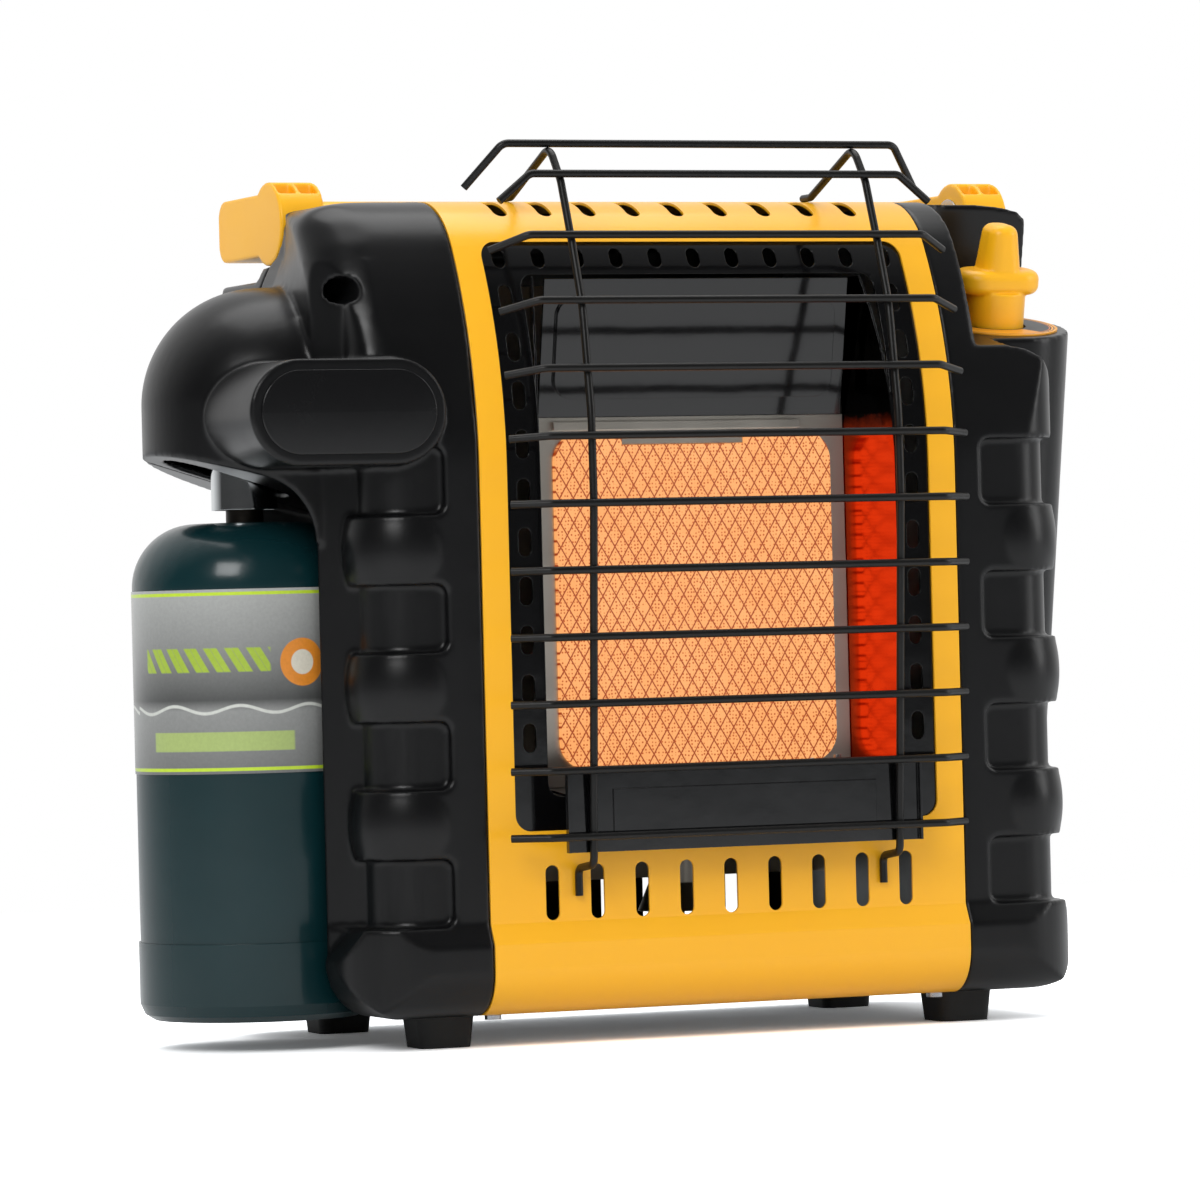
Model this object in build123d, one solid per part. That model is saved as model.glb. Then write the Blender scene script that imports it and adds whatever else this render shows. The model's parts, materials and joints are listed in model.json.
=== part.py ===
from build123d import *
import os
from math import atan2, cos, degrees, hypot, radians, sin, sqrt

# Portable propane heater with a disposable gas cylinder, in millimetres.
# X runs to the right as the user faces the heater, Y to the back, Z up.
# The origin lies on the floor, in the middle of the four feet.

os.makedirs("parts", exist_ok=True)

# ------------------------------------------------------------ driving dimensions
# Body
panel_width = 218.2  # yellow sheet-steel front, side to side
body_half_width = 168.0  # from the middle plane to the side of a housing
body_top = 356.0
front_y = -96.7  # flat part of the front
back_y = 90.0
floor_gap = 13.5  # under the body, the height of the feet
front_arc_start_z = 240.0  # where the flat front starts to curve back
top_front_radius = 42.0
top_front_centre_y = -35.0
top_rear_radius = 66.0
bottom_rear_radius = 8.0
kick_out = 4.1  # how far the lower edge of the front stands out
kick_top_z = 52.0
kick_slope_height = 8.5
kick_radius = 19.5

# Sheet metal and moulded walls
sheet = 1.2
thin_sheet = 1.0
shell_wall = 2.5
seam_gap = 0.3  # between the front panel and a housing
seat_gap = 0.1  # between parts that are pressed or screwed together
running_gap = 0.05  # round a turning pin

# Window and slots
window_half_width = 97.0
window_bottom_z = 90.0
window_top_z = 337.0
window_corner_radius = 7.0
slot_count = 9
slot_pitch = 20.3
slot_width = 6.2
bottom_slot_low_z = 52.7
bottom_slot_high_z = 75.6
top_slot_front_y = -59.0
top_slot_back_y = -29.0

# Burner
tile_width = 127.4
tile_bottom_z = 114.5
tile_top_z = 256.0
tile_face_y = -68.0
tile_thickness = 12.0
tile_corner_radius = 12.0
flange_inner_half_width = 81.5
flange_inner_bottom_z = 104.0
flange_inner_top_z = 323.0

# Housings
left_column_x = 134.5  # axis of the grip column at the front corner
right_column_x = 140.0
column_radius = 24.5
pocket_depth = 4.5
left_pocket_x = 124.5  # inner end of the grip pockets
right_pocket_x = 121.5
pocket_first_z = 51.5
pocket_height = 28.5
pocket_pitch = 57.0
pocket_count = 4
pocket_corner_radius = 5.0
barrel_bulge = 1.4
rim_y = -56.0  # edge where the front strip ends on the side
rear_corner_radius = 42.0
boot_flare = 4.1
boot_half_width = 168.5
boot_corner_radius = 34.0
boot_bottom_radius = 24.0
boot_top_half_width = 161.0  # where the sloping top of the boot ends
boot_wide_z = 38.0  # the boot is widest here
shoulder_corner_z = 250.0  # above this the left front corner is rounder
shoulder_corner_radius = 26.0
shoulder_front_gap = 1.0  # how far the rounded corner starts ahead of the front
shoulder_back_y = 2.0  # ahead of this the side slants out to the front corner
split_y = 17.5  # front and rear shells of a housing meet here

# Gas cylinder and its dock
cylinder_x = -180.6
cylinder_y = -5.0
cylinder_radius = 49.3
cylinder_bottom_z = 13.0
cylinder_shoulder_z = 195.0
cylinder_top_z = 222.0
dock_radius = 53.0

# Regulator hood
hood_x = -168.0
hood_radius = 54.5
hood_top_z = 321.5
hood_corner_radius = 50.0
hood_left_z = 251.0  # underside at the left end
hood_right_z = 228.0  # underside at the right end, 75 further right
hood_run = 75.0
boss_width = 86.0
boss_height = 44.0
boss_x = -167.0
boss_z = 265.5
boss_front_y = -99.5
regulator_pivot_z = 275.0
regulator_radius = 29.0
regulator_thickness = 30.0

# Control tower and knob
knob_x = 157.0
knob_y = -40.0
shelf_z = 301.5  # on the knob's axis
shelf_tilt = 12.0  # towards the user, degrees
tower_radius = 32.5
tower_foot_z = 60.0
tower_block_x = 183.8  # right side of the block behind the knob
crown_z = 266.0  # above this the right grip column rounds over, as seen from the front
shelf_cut_depth = 29.0  # behind the knob
shelf_cut_width = 33.0  # beside the knob
shelf_cut_radius = 20.0
dial_radius = 28.0
knob_skirt_radius = 13.0
knob_skirt_height = 14.8
knob_flange_height = 10.6
knob_grip_height = 19.8
knob_travel = 6.0
stem_radius = 4.0

# Handle
handle_pivot_y = 24.0
handle_pivot_z = 350.5
handle_left_x = -157.0
handle_right_x = 188.0
handle_arm_thickness = 20.5
handle_hub_radius = 18.0
grip_y = 78.5
grip_z = 350.5
grip_depth = 18.0
grip_height = 27.0
notch_gap = 1.0
notch_step = 5.5  # the ledge under the handle's arm is lower than its hub
notch_step_y = 2.0
handle_pin_radius = 4.0

# Wire guard
wire_radius = 1.65
guard_half_width = 104.0
guard_bend_half_width = 90.0
rod_half_spacing = 70.0
guard_bar_count = 10
guard_bar_top_z = 336.3
guard_bar_pitch = 27.6
guard_bend_radius = 5.0
rack_bar_z = 361.6

# Feet
foot_inner_x = 107.4
foot_width = 25.5
foot_depth = 25.0
foot_half_spacing_y = 61.0

# ------------------------------------------------------------ values worked out from those
panel_half = panel_width / 2
housing_inner_x = panel_half + seam_gap
side_plate_outer_x = panel_half
side_plate_inner_x = panel_half - sheet
front_arc_radius = (
    (top_front_centre_y - front_y) ** 2
    + (body_top - top_front_radius - front_arc_start_z) ** 2
    - top_front_radius**2
) / (2 * (top_front_centre_y - front_y - top_front_radius))
top_rear_centre_y = back_y - top_rear_radius
boot_top_z = kick_top_z
tile_half = tile_width / 2
hood_slope = (hood_left_z - hood_right_z) / hood_run
hood_left_x = hood_x - hood_radius


# ------------------------------------------------------------ shared helpers
def polar(centre, radius, angle):
    """Point on a circle, the angle in degrees."""
    return (centre[0] + radius * cos(radians(angle)), centre[1] + radius * sin(radians(angle)))


def arc(centre, radius, start, end):
    """Circular edge about a centre, the angles in degrees."""
    middle = (start + end) / 2
    points = [polar(centre, radius, angle) for angle in (start, middle, end)]
    return ThreePointArc(*points)


def across(sketch, x_from, x_to):
    """Solid of a side view, which is drawn in Y and Z, from one X to another."""
    return extrude(Plane.YZ.offset(x_from) * sketch, x_to - x_from)


def backwards(sketch, y_from, y_to):
    """Solid of a front view, which is drawn in X and Z, from one Y to another."""
    return extrude(Plane.XZ.offset(-y_from) * sketch, y_from - y_to)


def upright(sketch, z_from, z_to):
    """Solid of a plan view, which is drawn in X and Y, from one Z to another."""
    return extrude(Plane.XY.offset(z_from) * sketch, z_to - z_from)


def block(x_from, x_to, y_from, y_to, z_from, z_to):
    """Box between two corners."""
    middle = ((x_from + x_to) / 2, (y_from + y_to) / 2, (z_from + z_to) / 2)
    return Location(middle) * Box(x_to - x_from, y_to - y_from, z_to - z_from)


def rod(start, end, radius):
    """Round bar between two points."""
    axis = Vector(*end) - Vector(*start)
    return extrude(Plane(origin=start, z_dir=axis) * Circle(radius), axis.length)


def ring(start, end, outer, inner):
    """Round sleeve between two points."""
    return rod(start, end, outer) - rod(start, end, inner)


def bent_wire(points, radius, bend):
    """Round wire along straight runs, with one bend radius at every corner."""
    path = FilletPolyline(*points, radius=bend)
    section = Plane(origin=path @ 0, z_dir=path % 0) * Circle(radius)
    return sweep(section, path=path)


def mirrored(shape):
    """The same shape on the other side of the middle plane."""
    return mirror(shape, about=Plane.YZ)


def one(shapes):
    """Several separate solids as one group."""
    return Compound(children=[solid for shape in shapes for solid in shape.solids()])


pieces = {}


def keep(name, shape):
    """Take a finished piece into the model."""
    pieces[name] = shape


# ------------------------------------------------------------ side view of the body
def body_profile():
    """Closed side view in Y and Z: kicked-out foot, flat front, curved top, rounded back."""
    kick_y = front_y - kick_out
    kick_centre = (kick_y + kick_radius, floor_gap + kick_radius)
    front_centre = (front_y + front_arc_radius, front_arc_start_z)
    top_centre = (top_front_centre_y, body_top - top_front_radius)
    meet = degrees(atan2(top_centre[1] - front_centre[1], top_centre[0] - front_centre[0]))
    rear_centre = (top_rear_centre_y, body_top - top_rear_radius)
    foot_centre = (back_y - bottom_rear_radius, floor_gap + bottom_rear_radius)
    slope_z = kick_top_z - kick_slope_height
    edges = [
        arc(kick_centre, kick_radius, 270, 180),
        Line((kick_y, kick_centre[1]), (kick_y, slope_z)),
        Line((kick_y, slope_z), (front_y, kick_top_z)),
        Line((front_y, kick_top_z), (front_y, front_arc_start_z)),
        arc(front_centre, front_arc_radius, 180, meet),
        arc(top_centre, top_front_radius, meet, 90),
        Line((top_centre[0], body_top), (rear_centre[0], body_top)),
        arc(rear_centre, top_rear_radius, 90, 0),
        Line((back_y, rear_centre[1]), (back_y, foot_centre[1])),
        arc(foot_centre, bottom_rear_radius, 0, -90),
        Line((foot_centre[0], floor_gap), (kick_centre[0], floor_gap)),
    ]
    return make_face(edges)


profile = body_profile()


def profile_inset(amount):
    """The side view, drawn in by an amount."""
    return offset(profile, amount=-amount) if amount else profile


def profile_band(outer, inner):
    """The strip of the side view between two insets."""
    return profile_inset(outer) - profile_inset(inner)


def view_box(low_1, high_1, low_2, high_2):
    """Rectangle between two corners of a view."""
    centre = ((low_1 + high_1) / 2, (low_2 + high_2) / 2)
    return Location((centre[0], centre[1], 0)) * Rectangle(high_1 - low_1, high_2 - low_2)


def view_slot(low_1, high_1, low_2, high_2):
    """Upright slot with round ends, between two corners of a view."""
    width = high_1 - low_1
    centre = ((low_1 + high_1) / 2, (low_2 + high_2) / 2)
    return Location((centre[0], centre[1], 0)) * SlotOverall(high_2 - low_2, width, rotation=90)


def rounded_box(low_1, high_1, low_2, high_2, radius):
    """Rectangle with round corners between two corners of a view."""
    centre = ((low_1 + high_1) / 2, (low_2 + high_2) / 2)
    return Location((centre[0], centre[1], 0)) * RectangleRounded(high_1 - low_1, high_2 - low_2, radius)


def slot_positions():
    """X of each slot in a row."""
    return [(index - (slot_count - 1) / 2) * slot_pitch for index in range(slot_count)]


far = 400.0  # safely outside the object

# ------------------------------------------------------------ front panel
panel_lip_y = -74.0
panel_rear_y = top_rear_centre_y
window_y_limit = -40.0


def front_panel():
    """Yellow sheet: lower lip, kick-out, flat front with the window, curved top with slots."""
    strip = profile_band(0, sheet)
    kept = view_box(-far, panel_lip_y, 0, body_top + 5) + view_box(-far, panel_rear_y, 300, body_top + 5)
    panel = across(strip & kept, -panel_half, panel_half)
    window = rounded_box(
        -window_half_width, window_half_width, window_bottom_z, window_top_z, window_corner_radius
    )
    panel -= backwards(window, -far, window_y_limit)
    slots = []
    for x in slot_positions():
        low = view_slot(x - slot_width / 2, x + slot_width / 2, bottom_slot_low_z, bottom_slot_high_z)
        slots.append(backwards(low, -far, window_y_limit))
        top = view_slot(x - slot_width / 2, x + slot_width / 2, top_slot_front_y, top_slot_back_y)
        slots.append(upright(top, front_arc_start_z + 60, body_top + 5))
    return panel - slots


keep("front_panel", front_panel())

# ------------------------------------------------------------ back panel
louvre_count = 8
louvre_width = 130.0
louvre_height = 5.0
louvre_pitch = 16.0
louvre_low_z = 170.0


def back_panel():
    """Black sheet over the rear curve and down the back, with two fields of slots."""
    strip = profile_band(0, sheet)
    kept = view_box(panel_rear_y + seam_gap, far, 0, body_top + 5) & view_box(0, far, 16.0, body_top + 5)
    panel = across(strip & kept, -panel_half, panel_half)
    cuts = []
    for index in range(louvre_count):
        z = louvre_low_z + index * louvre_pitch
        for side in (-1, 1):
            middle = side * (louvre_width / 4 + 5)
            shape = Location((middle, z, 0)) * SlotOverall(louvre_width / 2, louvre_height)
            cuts.append(backwards(shape, back_y - 20, far))
    for x in slot_positions():
        shape = view_slot(x - slot_width / 2, x + slot_width / 2, 40, 75)
        cuts.append(backwards(shape, back_y - 20, far))
    return panel - cuts


keep("back_panel", back_panel())

# ------------------------------------------------------------ side plates and base pan
tube_hole_radius = 5.0
inlet_tube_y = 34.0
inlet_tube_z = 285.0
burner_tube_y = -45.0
burner_tube_z = 34.0
pilot_tube_y = -76.0
pilot_tube_z = 84.0
lead_tube_z = 95.0
side_plate_inset = sheet + seat_gap


def side_plate():
    """Sheet-steel side of the chassis, right-hand one."""
    return across(profile_inset(side_plate_inset), side_plate_inner_x, side_plate_outer_x)


def tube_hole(y, z):
    """Hole for a tube through the right-hand side plate."""
    return across(Location((y, z, 0)) * Circle(tube_hole_radius), 0, far)


right_side_plate = side_plate()
right_side_plate -= [tube_hole(inlet_tube_y, inlet_tube_z), tube_hole(burner_tube_y, burner_tube_z)]
right_side_plate -= [tube_hole(pilot_tube_y, pilot_tube_z), tube_hole(pilot_tube_y, lead_tube_z)]
keep("right_side_plate", right_side_plate)
left_side_plate = mirrored(side_plate()) - mirrored(tube_hole(inlet_tube_y, inlet_tube_z))
keep("left_side_plate", left_side_plate)

pan_half_width = side_plate_inner_x - seat_gap
pan_bottom_z = floor_gap + sheet + seat_gap
pan_top_z = pan_bottom_z + sheet
pan_front_y = -80.0
pan_rear_y = 84.0
pan_rim_height = 14.0


def base_pan():
    """Bottom tray with an upturned rear rim and air slots."""
    tray = block(-pan_half_width, pan_half_width, pan_front_y, pan_rear_y, pan_bottom_z, pan_top_z)
    tray += block(
        -pan_half_width,
        pan_half_width,
        pan_rear_y - sheet,
        pan_rear_y,
        pan_bottom_z,
        pan_bottom_z + pan_rim_height,
    )
    for y in (0, 25, 50):
        for x in (-55, 55):
            tray -= upright(Location((x, y, 0)) * SlotOverall(60, 8), 0, 50)
    return tray


keep("base_pan", base_pan())

# ------------------------------------------------------------ window frame and deflector
frame_inset = sheet + seat_gap
frame_half_width = 105.0
frame_bottom_z = 82.0
frame_top_z = 346.0
burner_plate_y = -65.8  # front face of the pale plate round the tile
burner_plate_half_width = 71.0
burner_plate_bottom_z = 107.0
burner_plate_top_z = 263.0
obround_width = 5.8
obround_height = 12.0
top_obround_height = 8.5
flange_hole_pitch = 17.8
side_hole_low_z = 128.8
side_hole_pitch = 20.4
side_hole_count = 10
top_hole_count = 11


def window_frame():
    """Black enamelled surround: curved flange with holes, slanting side walls, sill."""
    strip = profile_band(frame_inset, frame_inset + thin_sheet)
    strip &= view_box(-far, -40, frame_bottom_z, frame_top_z)
    frame = across(strip, -frame_half_width, frame_half_width)
    opening = rounded_box(
        -flange_inner_half_width, flange_inner_half_width, flange_inner_bottom_z, flange_inner_top_z, 6
    )
    frame -= backwards(opening, -far, window_y_limit)
    flange_middle_x = (flange_inner_half_width + window_half_width) / 2
    flange_middle_z = (flange_inner_top_z + window_top_z) / 2
    holes = []
    for index in range(side_hole_count):
        z = side_hole_low_z + index * side_hole_pitch
        for x in (-flange_middle_x, flange_middle_x):
            shape = view_slot(
                x - obround_width / 2, x + obround_width / 2, z - obround_height / 2, z + obround_height / 2
            )
            holes.append(backwards(shape, -far, window_y_limit))
    for index in range(top_hole_count):
        x = (index - (top_hole_count - 1) / 2) * flange_hole_pitch
        shape = view_slot(
            x - obround_width / 2,
            x + obround_width / 2,
            flange_middle_z - top_obround_height / 2,
            flange_middle_z + top_obround_height / 2,
        )
        holes.append(backwards(shape, -far, window_y_limit))
    frame -= holes
    wall_front_y = front_y + frame_inset
    wall = make_face(
        Polyline(
            (flange_inner_half_width, wall_front_y + 0.2),
            (flange_inner_half_width + thin_sheet, wall_front_y + 0.2),
            (burner_plate_half_width + thin_sheet + seat_gap, burner_plate_y + thin_sheet),
            (burner_plate_half_width + seat_gap, burner_plate_y + thin_sheet),
            close=True,
        )
    )
    side = upright(wall, flange_inner_bottom_z - 2, flange_inner_top_z - 1)
    trimmed = side & across(profile_inset(frame_inset + 0.2), 0, far)
    sill = make_face(
        Polyline(
            (wall_front_y + 0.2, flange_inner_bottom_z),
            (wall_front_y + 0.2, flange_inner_bottom_z - thin_sheet),
            (burner_plate_y + thin_sheet, burner_plate_bottom_z - thin_sheet - seat_gap),
            (burner_plate_y + thin_sheet, burner_plate_bottom_z - seat_gap),
            close=True,
        )
    )
    sill_solid = across(sill, -burner_plate_half_width, burner_plate_half_width)
    return frame + trimmed + mirrored(trimmed) + sill_solid


keep("window_frame", window_frame())

deflector_bottom_z = burner_plate_top_z + seat_gap
deflector_top_z = 321.0
deflector_top_y = -77.0
deflector_emboss = 2.0


def heat_deflector():
    """Leaning plate above the burner, with a raised rounded field."""
    lean = atan2(deflector_top_y - burner_plate_y, deflector_top_z - deflector_bottom_z)
    height = sqrt((deflector_top_y - burner_plate_y) ** 2 + (deflector_top_z - deflector_bottom_z) ** 2)
    middle_y = (deflector_top_y + burner_plate_y) / 2
    middle_z = (deflector_top_z + deflector_bottom_z) / 2
    plane = Plane(origin=(0, middle_y, middle_z), x_dir=(1, 0, 0), z_dir=(0, -cos(lean), sin(lean)))
    plate = extrude(plane * Rectangle(2 * burner_plate_half_width - 2, height), -thin_sheet)
    field = extrude(plane * RectangleRounded(128, height - 16, 8), deflector_emboss)
    hollow_outline = RectangleRounded(128 - 2 * thin_sheet, height - 18, 7)
    inner = extrude(plane * hollow_outline, deflector_emboss - thin_sheet)
    return plate + (field - inner)


keep("heat_deflector", heat_deflector())

# ------------------------------------------------------------ burner
plenum_wall = 1.0
plenum_step_y = tile_face_y + tile_thickness
plenum_back_y = -26.0
plenum_step = 6.0
gasket_thickness = 2.0
mixer_radius = 13.0
mixer_y = -40.6
mixer_bell_radius = 18.0
mixer_bottom_z = 52.0


def tile_outline(grow):
    """Front view of the tile, grown by an amount."""
    return rounded_box(
        -tile_half - grow,
        tile_half + grow,
        tile_bottom_z - grow,
        tile_top_z + grow,
        tile_corner_radius + grow,
    )


tile_notch_left_x = -33.0
tile_notch_right_x = 25.0
tile_notch_depth = 5.0
notch = block(tile_notch_left_x, tile_notch_right_x, -far, far, tile_top_z - tile_notch_depth, tile_top_z + 5)
keep("burner_tile", backwards(tile_outline(0), tile_face_y, tile_face_y + tile_thickness) - notch)


def tile_frame():
    """Pale steel plate round the tile, with a folded lip over its upper edge."""
    outer = view_box(
        -burner_plate_half_width, burner_plate_half_width, burner_plate_bottom_z, burner_plate_top_z
    )
    plate = backwards(outer - tile_outline(0.3), burner_plate_y, burner_plate_y + thin_sheet)
    lip = block(
        tile_notch_left_x + 1,
        tile_notch_right_x - 1,
        burner_plate_y,
        burner_plate_y + thin_sheet,
        tile_top_z - tile_notch_depth + 0.3,
        tile_top_z + 2,
    )
    return plate + lip


keep("tile_frame", tile_frame())

clip_left_x = -64.0
clip_right_x = 50.0
clip_depth = 2.4
clip_low_z = tile_top_z + 1.5
clip_high_z = tile_top_z + 5
clip_hollow_y = burner_plate_y - clip_depth + 1
keep(
    "tile_clip",
    block(clip_left_x, clip_right_x, burner_plate_y - clip_depth, burner_plate_y, clip_low_z, clip_high_z)
    - block(
        clip_left_x + 1, clip_right_x - 1, clip_hollow_y, burner_plate_y, clip_low_z + 1, clip_high_z - 1
    ),
)


def plenum():
    """Pressed box behind the tile, which feeds it with gas and air."""
    rim_front = burner_plate_y + thin_sheet + seat_gap
    rim = backwards(tile_outline(1.6), rim_front, plenum_step_y + plenum_wall + gasket_thickness)
    box = backwards(tile_outline(1.6 - plenum_step), plenum_step_y, plenum_back_y)
    rim_bore = backwards(tile_outline(0.6), rim_front, plenum_step_y + gasket_thickness)
    box_bore = backwards(tile_outline(0.6 - plenum_step), rim_front, plenum_back_y - plenum_wall)
    shell = rim + box - rim_bore - box_bore
    inlet = rod((0, mixer_y, tile_bottom_z - 6), (0, mixer_y, tile_bottom_z + 12), mixer_radius + 0.2)
    return shell - inlet


keep("burner_plenum", plenum())
gasket_low_y = plenum_step_y + seat_gap
gasket_view = tile_outline(0.3) - tile_outline(0.8 - plenum_step)
keep("tile_gasket", backwards(gasket_view, gasket_low_y, gasket_low_y + 1.8))


def mixing_tube():
    """Upright venturi from the bell mouth into the plenum."""
    top = tile_bottom_z + 10
    outer = Polyline(
        (mixer_bell_radius, mixer_bottom_z),
        (mixer_radius, mixer_bottom_z + 12),
        (mixer_radius, top),
        (mixer_radius - sheet, top),
        (mixer_radius - sheet, mixer_bottom_z + 12.4),
        (mixer_bell_radius - sheet, mixer_bottom_z),
        close=True,
    )
    section = Plane(origin=(0, mixer_y, 0), x_dir=(1, 0, 0), z_dir=(0, -1, 0)) * make_face(outer)
    return revolve(section, axis=Axis((0, mixer_y, 0), (0, 0, 1)))


keep("mixing_tube", mixing_tube())

orifice_bottom_z = 28.0
orifice_height = 15.0
bracket_top_z = orifice_bottom_z - seat_gap


def orifice():
    """Brass jet below the bell mouth: hexagon, tip and drilled bore."""
    base = upright(Location((0, mixer_y, 0)) * RegularPolygon(7, 6), orifice_bottom_z, orifice_bottom_z + 9)
    tip = rod((0, mixer_y, orifice_bottom_z + 9), (0, mixer_y, orifice_bottom_z + orifice_height), 3.5)
    bore = rod((0, mixer_y, orifice_bottom_z + 4), (0, mixer_y, orifice_bottom_z + orifice_height), 1.0)
    return base + tip - bore


keep("orifice", orifice())

bracket_wall = 1.5
keep(
    "orifice_bracket",
    block(-14, 14, mixer_y - 9, mixer_y + 9, bracket_top_z - bracket_wall, bracket_top_z)
    + block(-14, -14 + bracket_wall, mixer_y - 9, mixer_y + 9, pan_top_z, bracket_top_z)
    + block(14 - bracket_wall, 14, mixer_y - 9, mixer_y + 9, pan_top_z, bracket_top_z)
    + block(14 - bracket_wall, 24, mixer_y - 9, mixer_y + 9, pan_top_z, pan_top_z + bracket_wall)
    + block(-24, -14 + bracket_wall, mixer_y - 9, mixer_y + 9, pan_top_z, pan_top_z + bracket_wall),
)

# Heat shield behind the burner
shield_y = 55.0
shield_low_z = 62.0
shield_high_z = 325.0
shield_foot = 14.0


def heat_shield():
    """Bright sheet between the burner and the back, with flanges on the side plates."""
    half = side_plate_inner_x - seat_gap
    sheet_body = block(-half, half, shield_y, shield_y + thin_sheet, shield_low_z, shield_high_z)
    flange = block(half - thin_sheet, half, shield_y - shield_foot, shield_y, shield_low_z, shield_high_z)
    flange -= block(0, far, inlet_tube_y - 10, inlet_tube_y + 12, inlet_tube_z - 12, inlet_tube_z + 12)
    return sheet_body + flange + mirrored(flange)


keep("heat_shield", heat_shield())

plenum_bracket_low_z = 150.0
plenum_bracket_high_z = 220.0
plenum_side_x = tile_half + 1.6 - plenum_step
bracket = block(
    plenum_side_x + seat_gap,
    side_plate_inner_x - seat_gap,
    -46,
    -44.8,
    plenum_bracket_low_z,
    plenum_bracket_high_z,
)
keep("burner_brackets", one([bracket, mirrored(bracket)]))

# ------------------------------------------------------------ pilot and spark
pilot_x = 34.0
pilot_y = pilot_tube_y
pilot_bracket_z = 98.0
pilot_bracket_thickness = 1.5
frame_back_y = front_y + frame_inset + thin_sheet

pilot_bracket_left_x = 20.0
pilot_bracket_right_x = 66.0
pilot_bracket_front_y = frame_back_y + seat_gap
pilot_bracket_leg_y = pilot_bracket_front_y + pilot_bracket_thickness
pilot_bracket_low_z = 86.0
pilot_bracket_top_z = pilot_bracket_z + pilot_bracket_thickness


def bracket_slab(y_from, y_to, z_from):
    """Slab of the pilot bracket, as wide as the bracket and up to its top."""
    return block(pilot_bracket_left_x, pilot_bracket_right_x, y_from, y_to, z_from, pilot_bracket_top_z)


keep(
    "pilot_bracket",
    bracket_slab(pilot_y - 7, pilot_y + 9, pilot_bracket_z)
    + bracket_slab(pilot_bracket_front_y, pilot_y - 7, pilot_bracket_z)
    + bracket_slab(pilot_bracket_front_y, pilot_bracket_leg_y, pilot_bracket_low_z)
    - rod((pilot_x, pilot_y, 90), (pilot_x, pilot_y, 105), 3.2)
    - rod((pilot_x + 14, pilot_y, 90), (pilot_x + 14, pilot_y, 105), 2.7)
    - rod((pilot_x + 26, pilot_y, 90), (pilot_x + 26, pilot_y, 105), 1.7),
)
sill_bores = [
    rod((pilot_x, pilot_y, 95), (pilot_x, pilot_y, 125), 6.0),
    rod((pilot_x + 14, pilot_y, 95), (pilot_x + 14, pilot_y, 125), 4.0),
    rod((pilot_x + 26, pilot_y, 95), (pilot_x + 26, pilot_y, 125), 4.0),
]
pieces["window_frame"] -= sill_bores
keep(
    "pilot_burner",
    rod((pilot_x, pilot_y, 94), (pilot_x, pilot_y, 112), 3.1)
    + rod((pilot_x, pilot_y, 108), (pilot_x, pilot_y, 114), 4.2)
    - rod((pilot_x, pilot_y, 105), (pilot_x, pilot_y, 114), 2.2),
)
keep(
    "spark_electrode",
    rod((pilot_x + 14, pilot_y, 92), (pilot_x + 14, pilot_y, 108), 2.6)
    + rod((pilot_x + 14, pilot_y, 108), (pilot_x + 14, pilot_y, 116), 0.9),
)
keep(
    "thermocouple",
    bent_wire(
        [
            (pilot_x + 26, pilot_y, 117),
            (pilot_x + 26, pilot_y, lead_tube_z - 5),
            (pilot_x + 60, pilot_y, lead_tube_z),
            (knob_x - 35, pilot_y, lead_tube_z),
            (knob_x - 35, knob_y + 12, 262),
        ],
        1.6,
        6.0,
    ),
)

# ------------------------------------------------------------ housings
column_y = front_y + column_radius


def plan_outline(column_x, inner_x, recess):
    """Plan of a right-hand housing; the recess draws in its front and grip column."""
    front = front_y + recess
    radius = column_radius - recess
    column = (column_x, column_y)
    rear_centre = (body_half_width - rear_corner_radius, back_y - rear_corner_radius)
    edges = [
        Line((inner_x, front), (column_x, front)),
        arc(column, radius, -90, 0),
        Line((column_x + radius, column_y), (body_half_width, rim_y)),
        Line((body_half_width, rim_y), (body_half_width, rear_centre[1])),
        arc(rear_centre, rear_corner_radius, 0, 90),
        Line((rear_centre[0], back_y), (inner_x, back_y)),
        Line((inner_x, back_y), (inner_x, front)),
    ]
    return make_face(edges)


def inner_edge(inset):
    """X of the open side of a housing, further in for the hollow inside it."""
    return housing_inner_x - (2 * inset + 1.0 if inset else 0.0)


def drawn_in(sketch, inset):
    """A closed view, smaller by an inset on every side."""
    return offset(sketch, amount=-inset) if inset else sketch


def boot_view(inset):
    """Front view of the boot of a right-hand housing: round below, sloping in above."""
    centre = (boot_half_width - boot_bottom_radius, floor_gap + boot_bottom_radius)
    inner = inner_edge(inset)
    edges = [
        Line((inner, floor_gap), (centre[0], floor_gap)),
        arc(centre, boot_bottom_radius, -90, 0),
        Line((boot_half_width, centre[1]), (boot_half_width, boot_wide_z)),
        Line((boot_half_width, boot_wide_z), (boot_top_half_width, boot_top_z)),
        Line((boot_top_half_width, boot_top_z), (inner, boot_top_z)),
        Line((inner, boot_top_z), (inner, floor_gap)),
    ]
    return drawn_in(make_face(edges), inset)


def shoulder_view(shoulder, inset):
    """Front view of a right-hand housing above the boot, with the corners of its shoulder."""
    half_width = shoulder[0][0]
    centre = (boot_half_width - boot_bottom_radius, floor_gap + boot_bottom_radius)
    inner = inner_edge(inset)
    corners = shoulder + [(inner, body_top), (inner, floor_gap), (centre[0], floor_gap)]
    edges = [arc(centre, boot_bottom_radius, -90, 0)]
    edges.append(Line((boot_half_width, centre[1]), (half_width, boot_top_z)))
    edges.append(Polyline((half_width, boot_top_z), *corners))
    return drawn_in(make_face(edges), inset)


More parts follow.
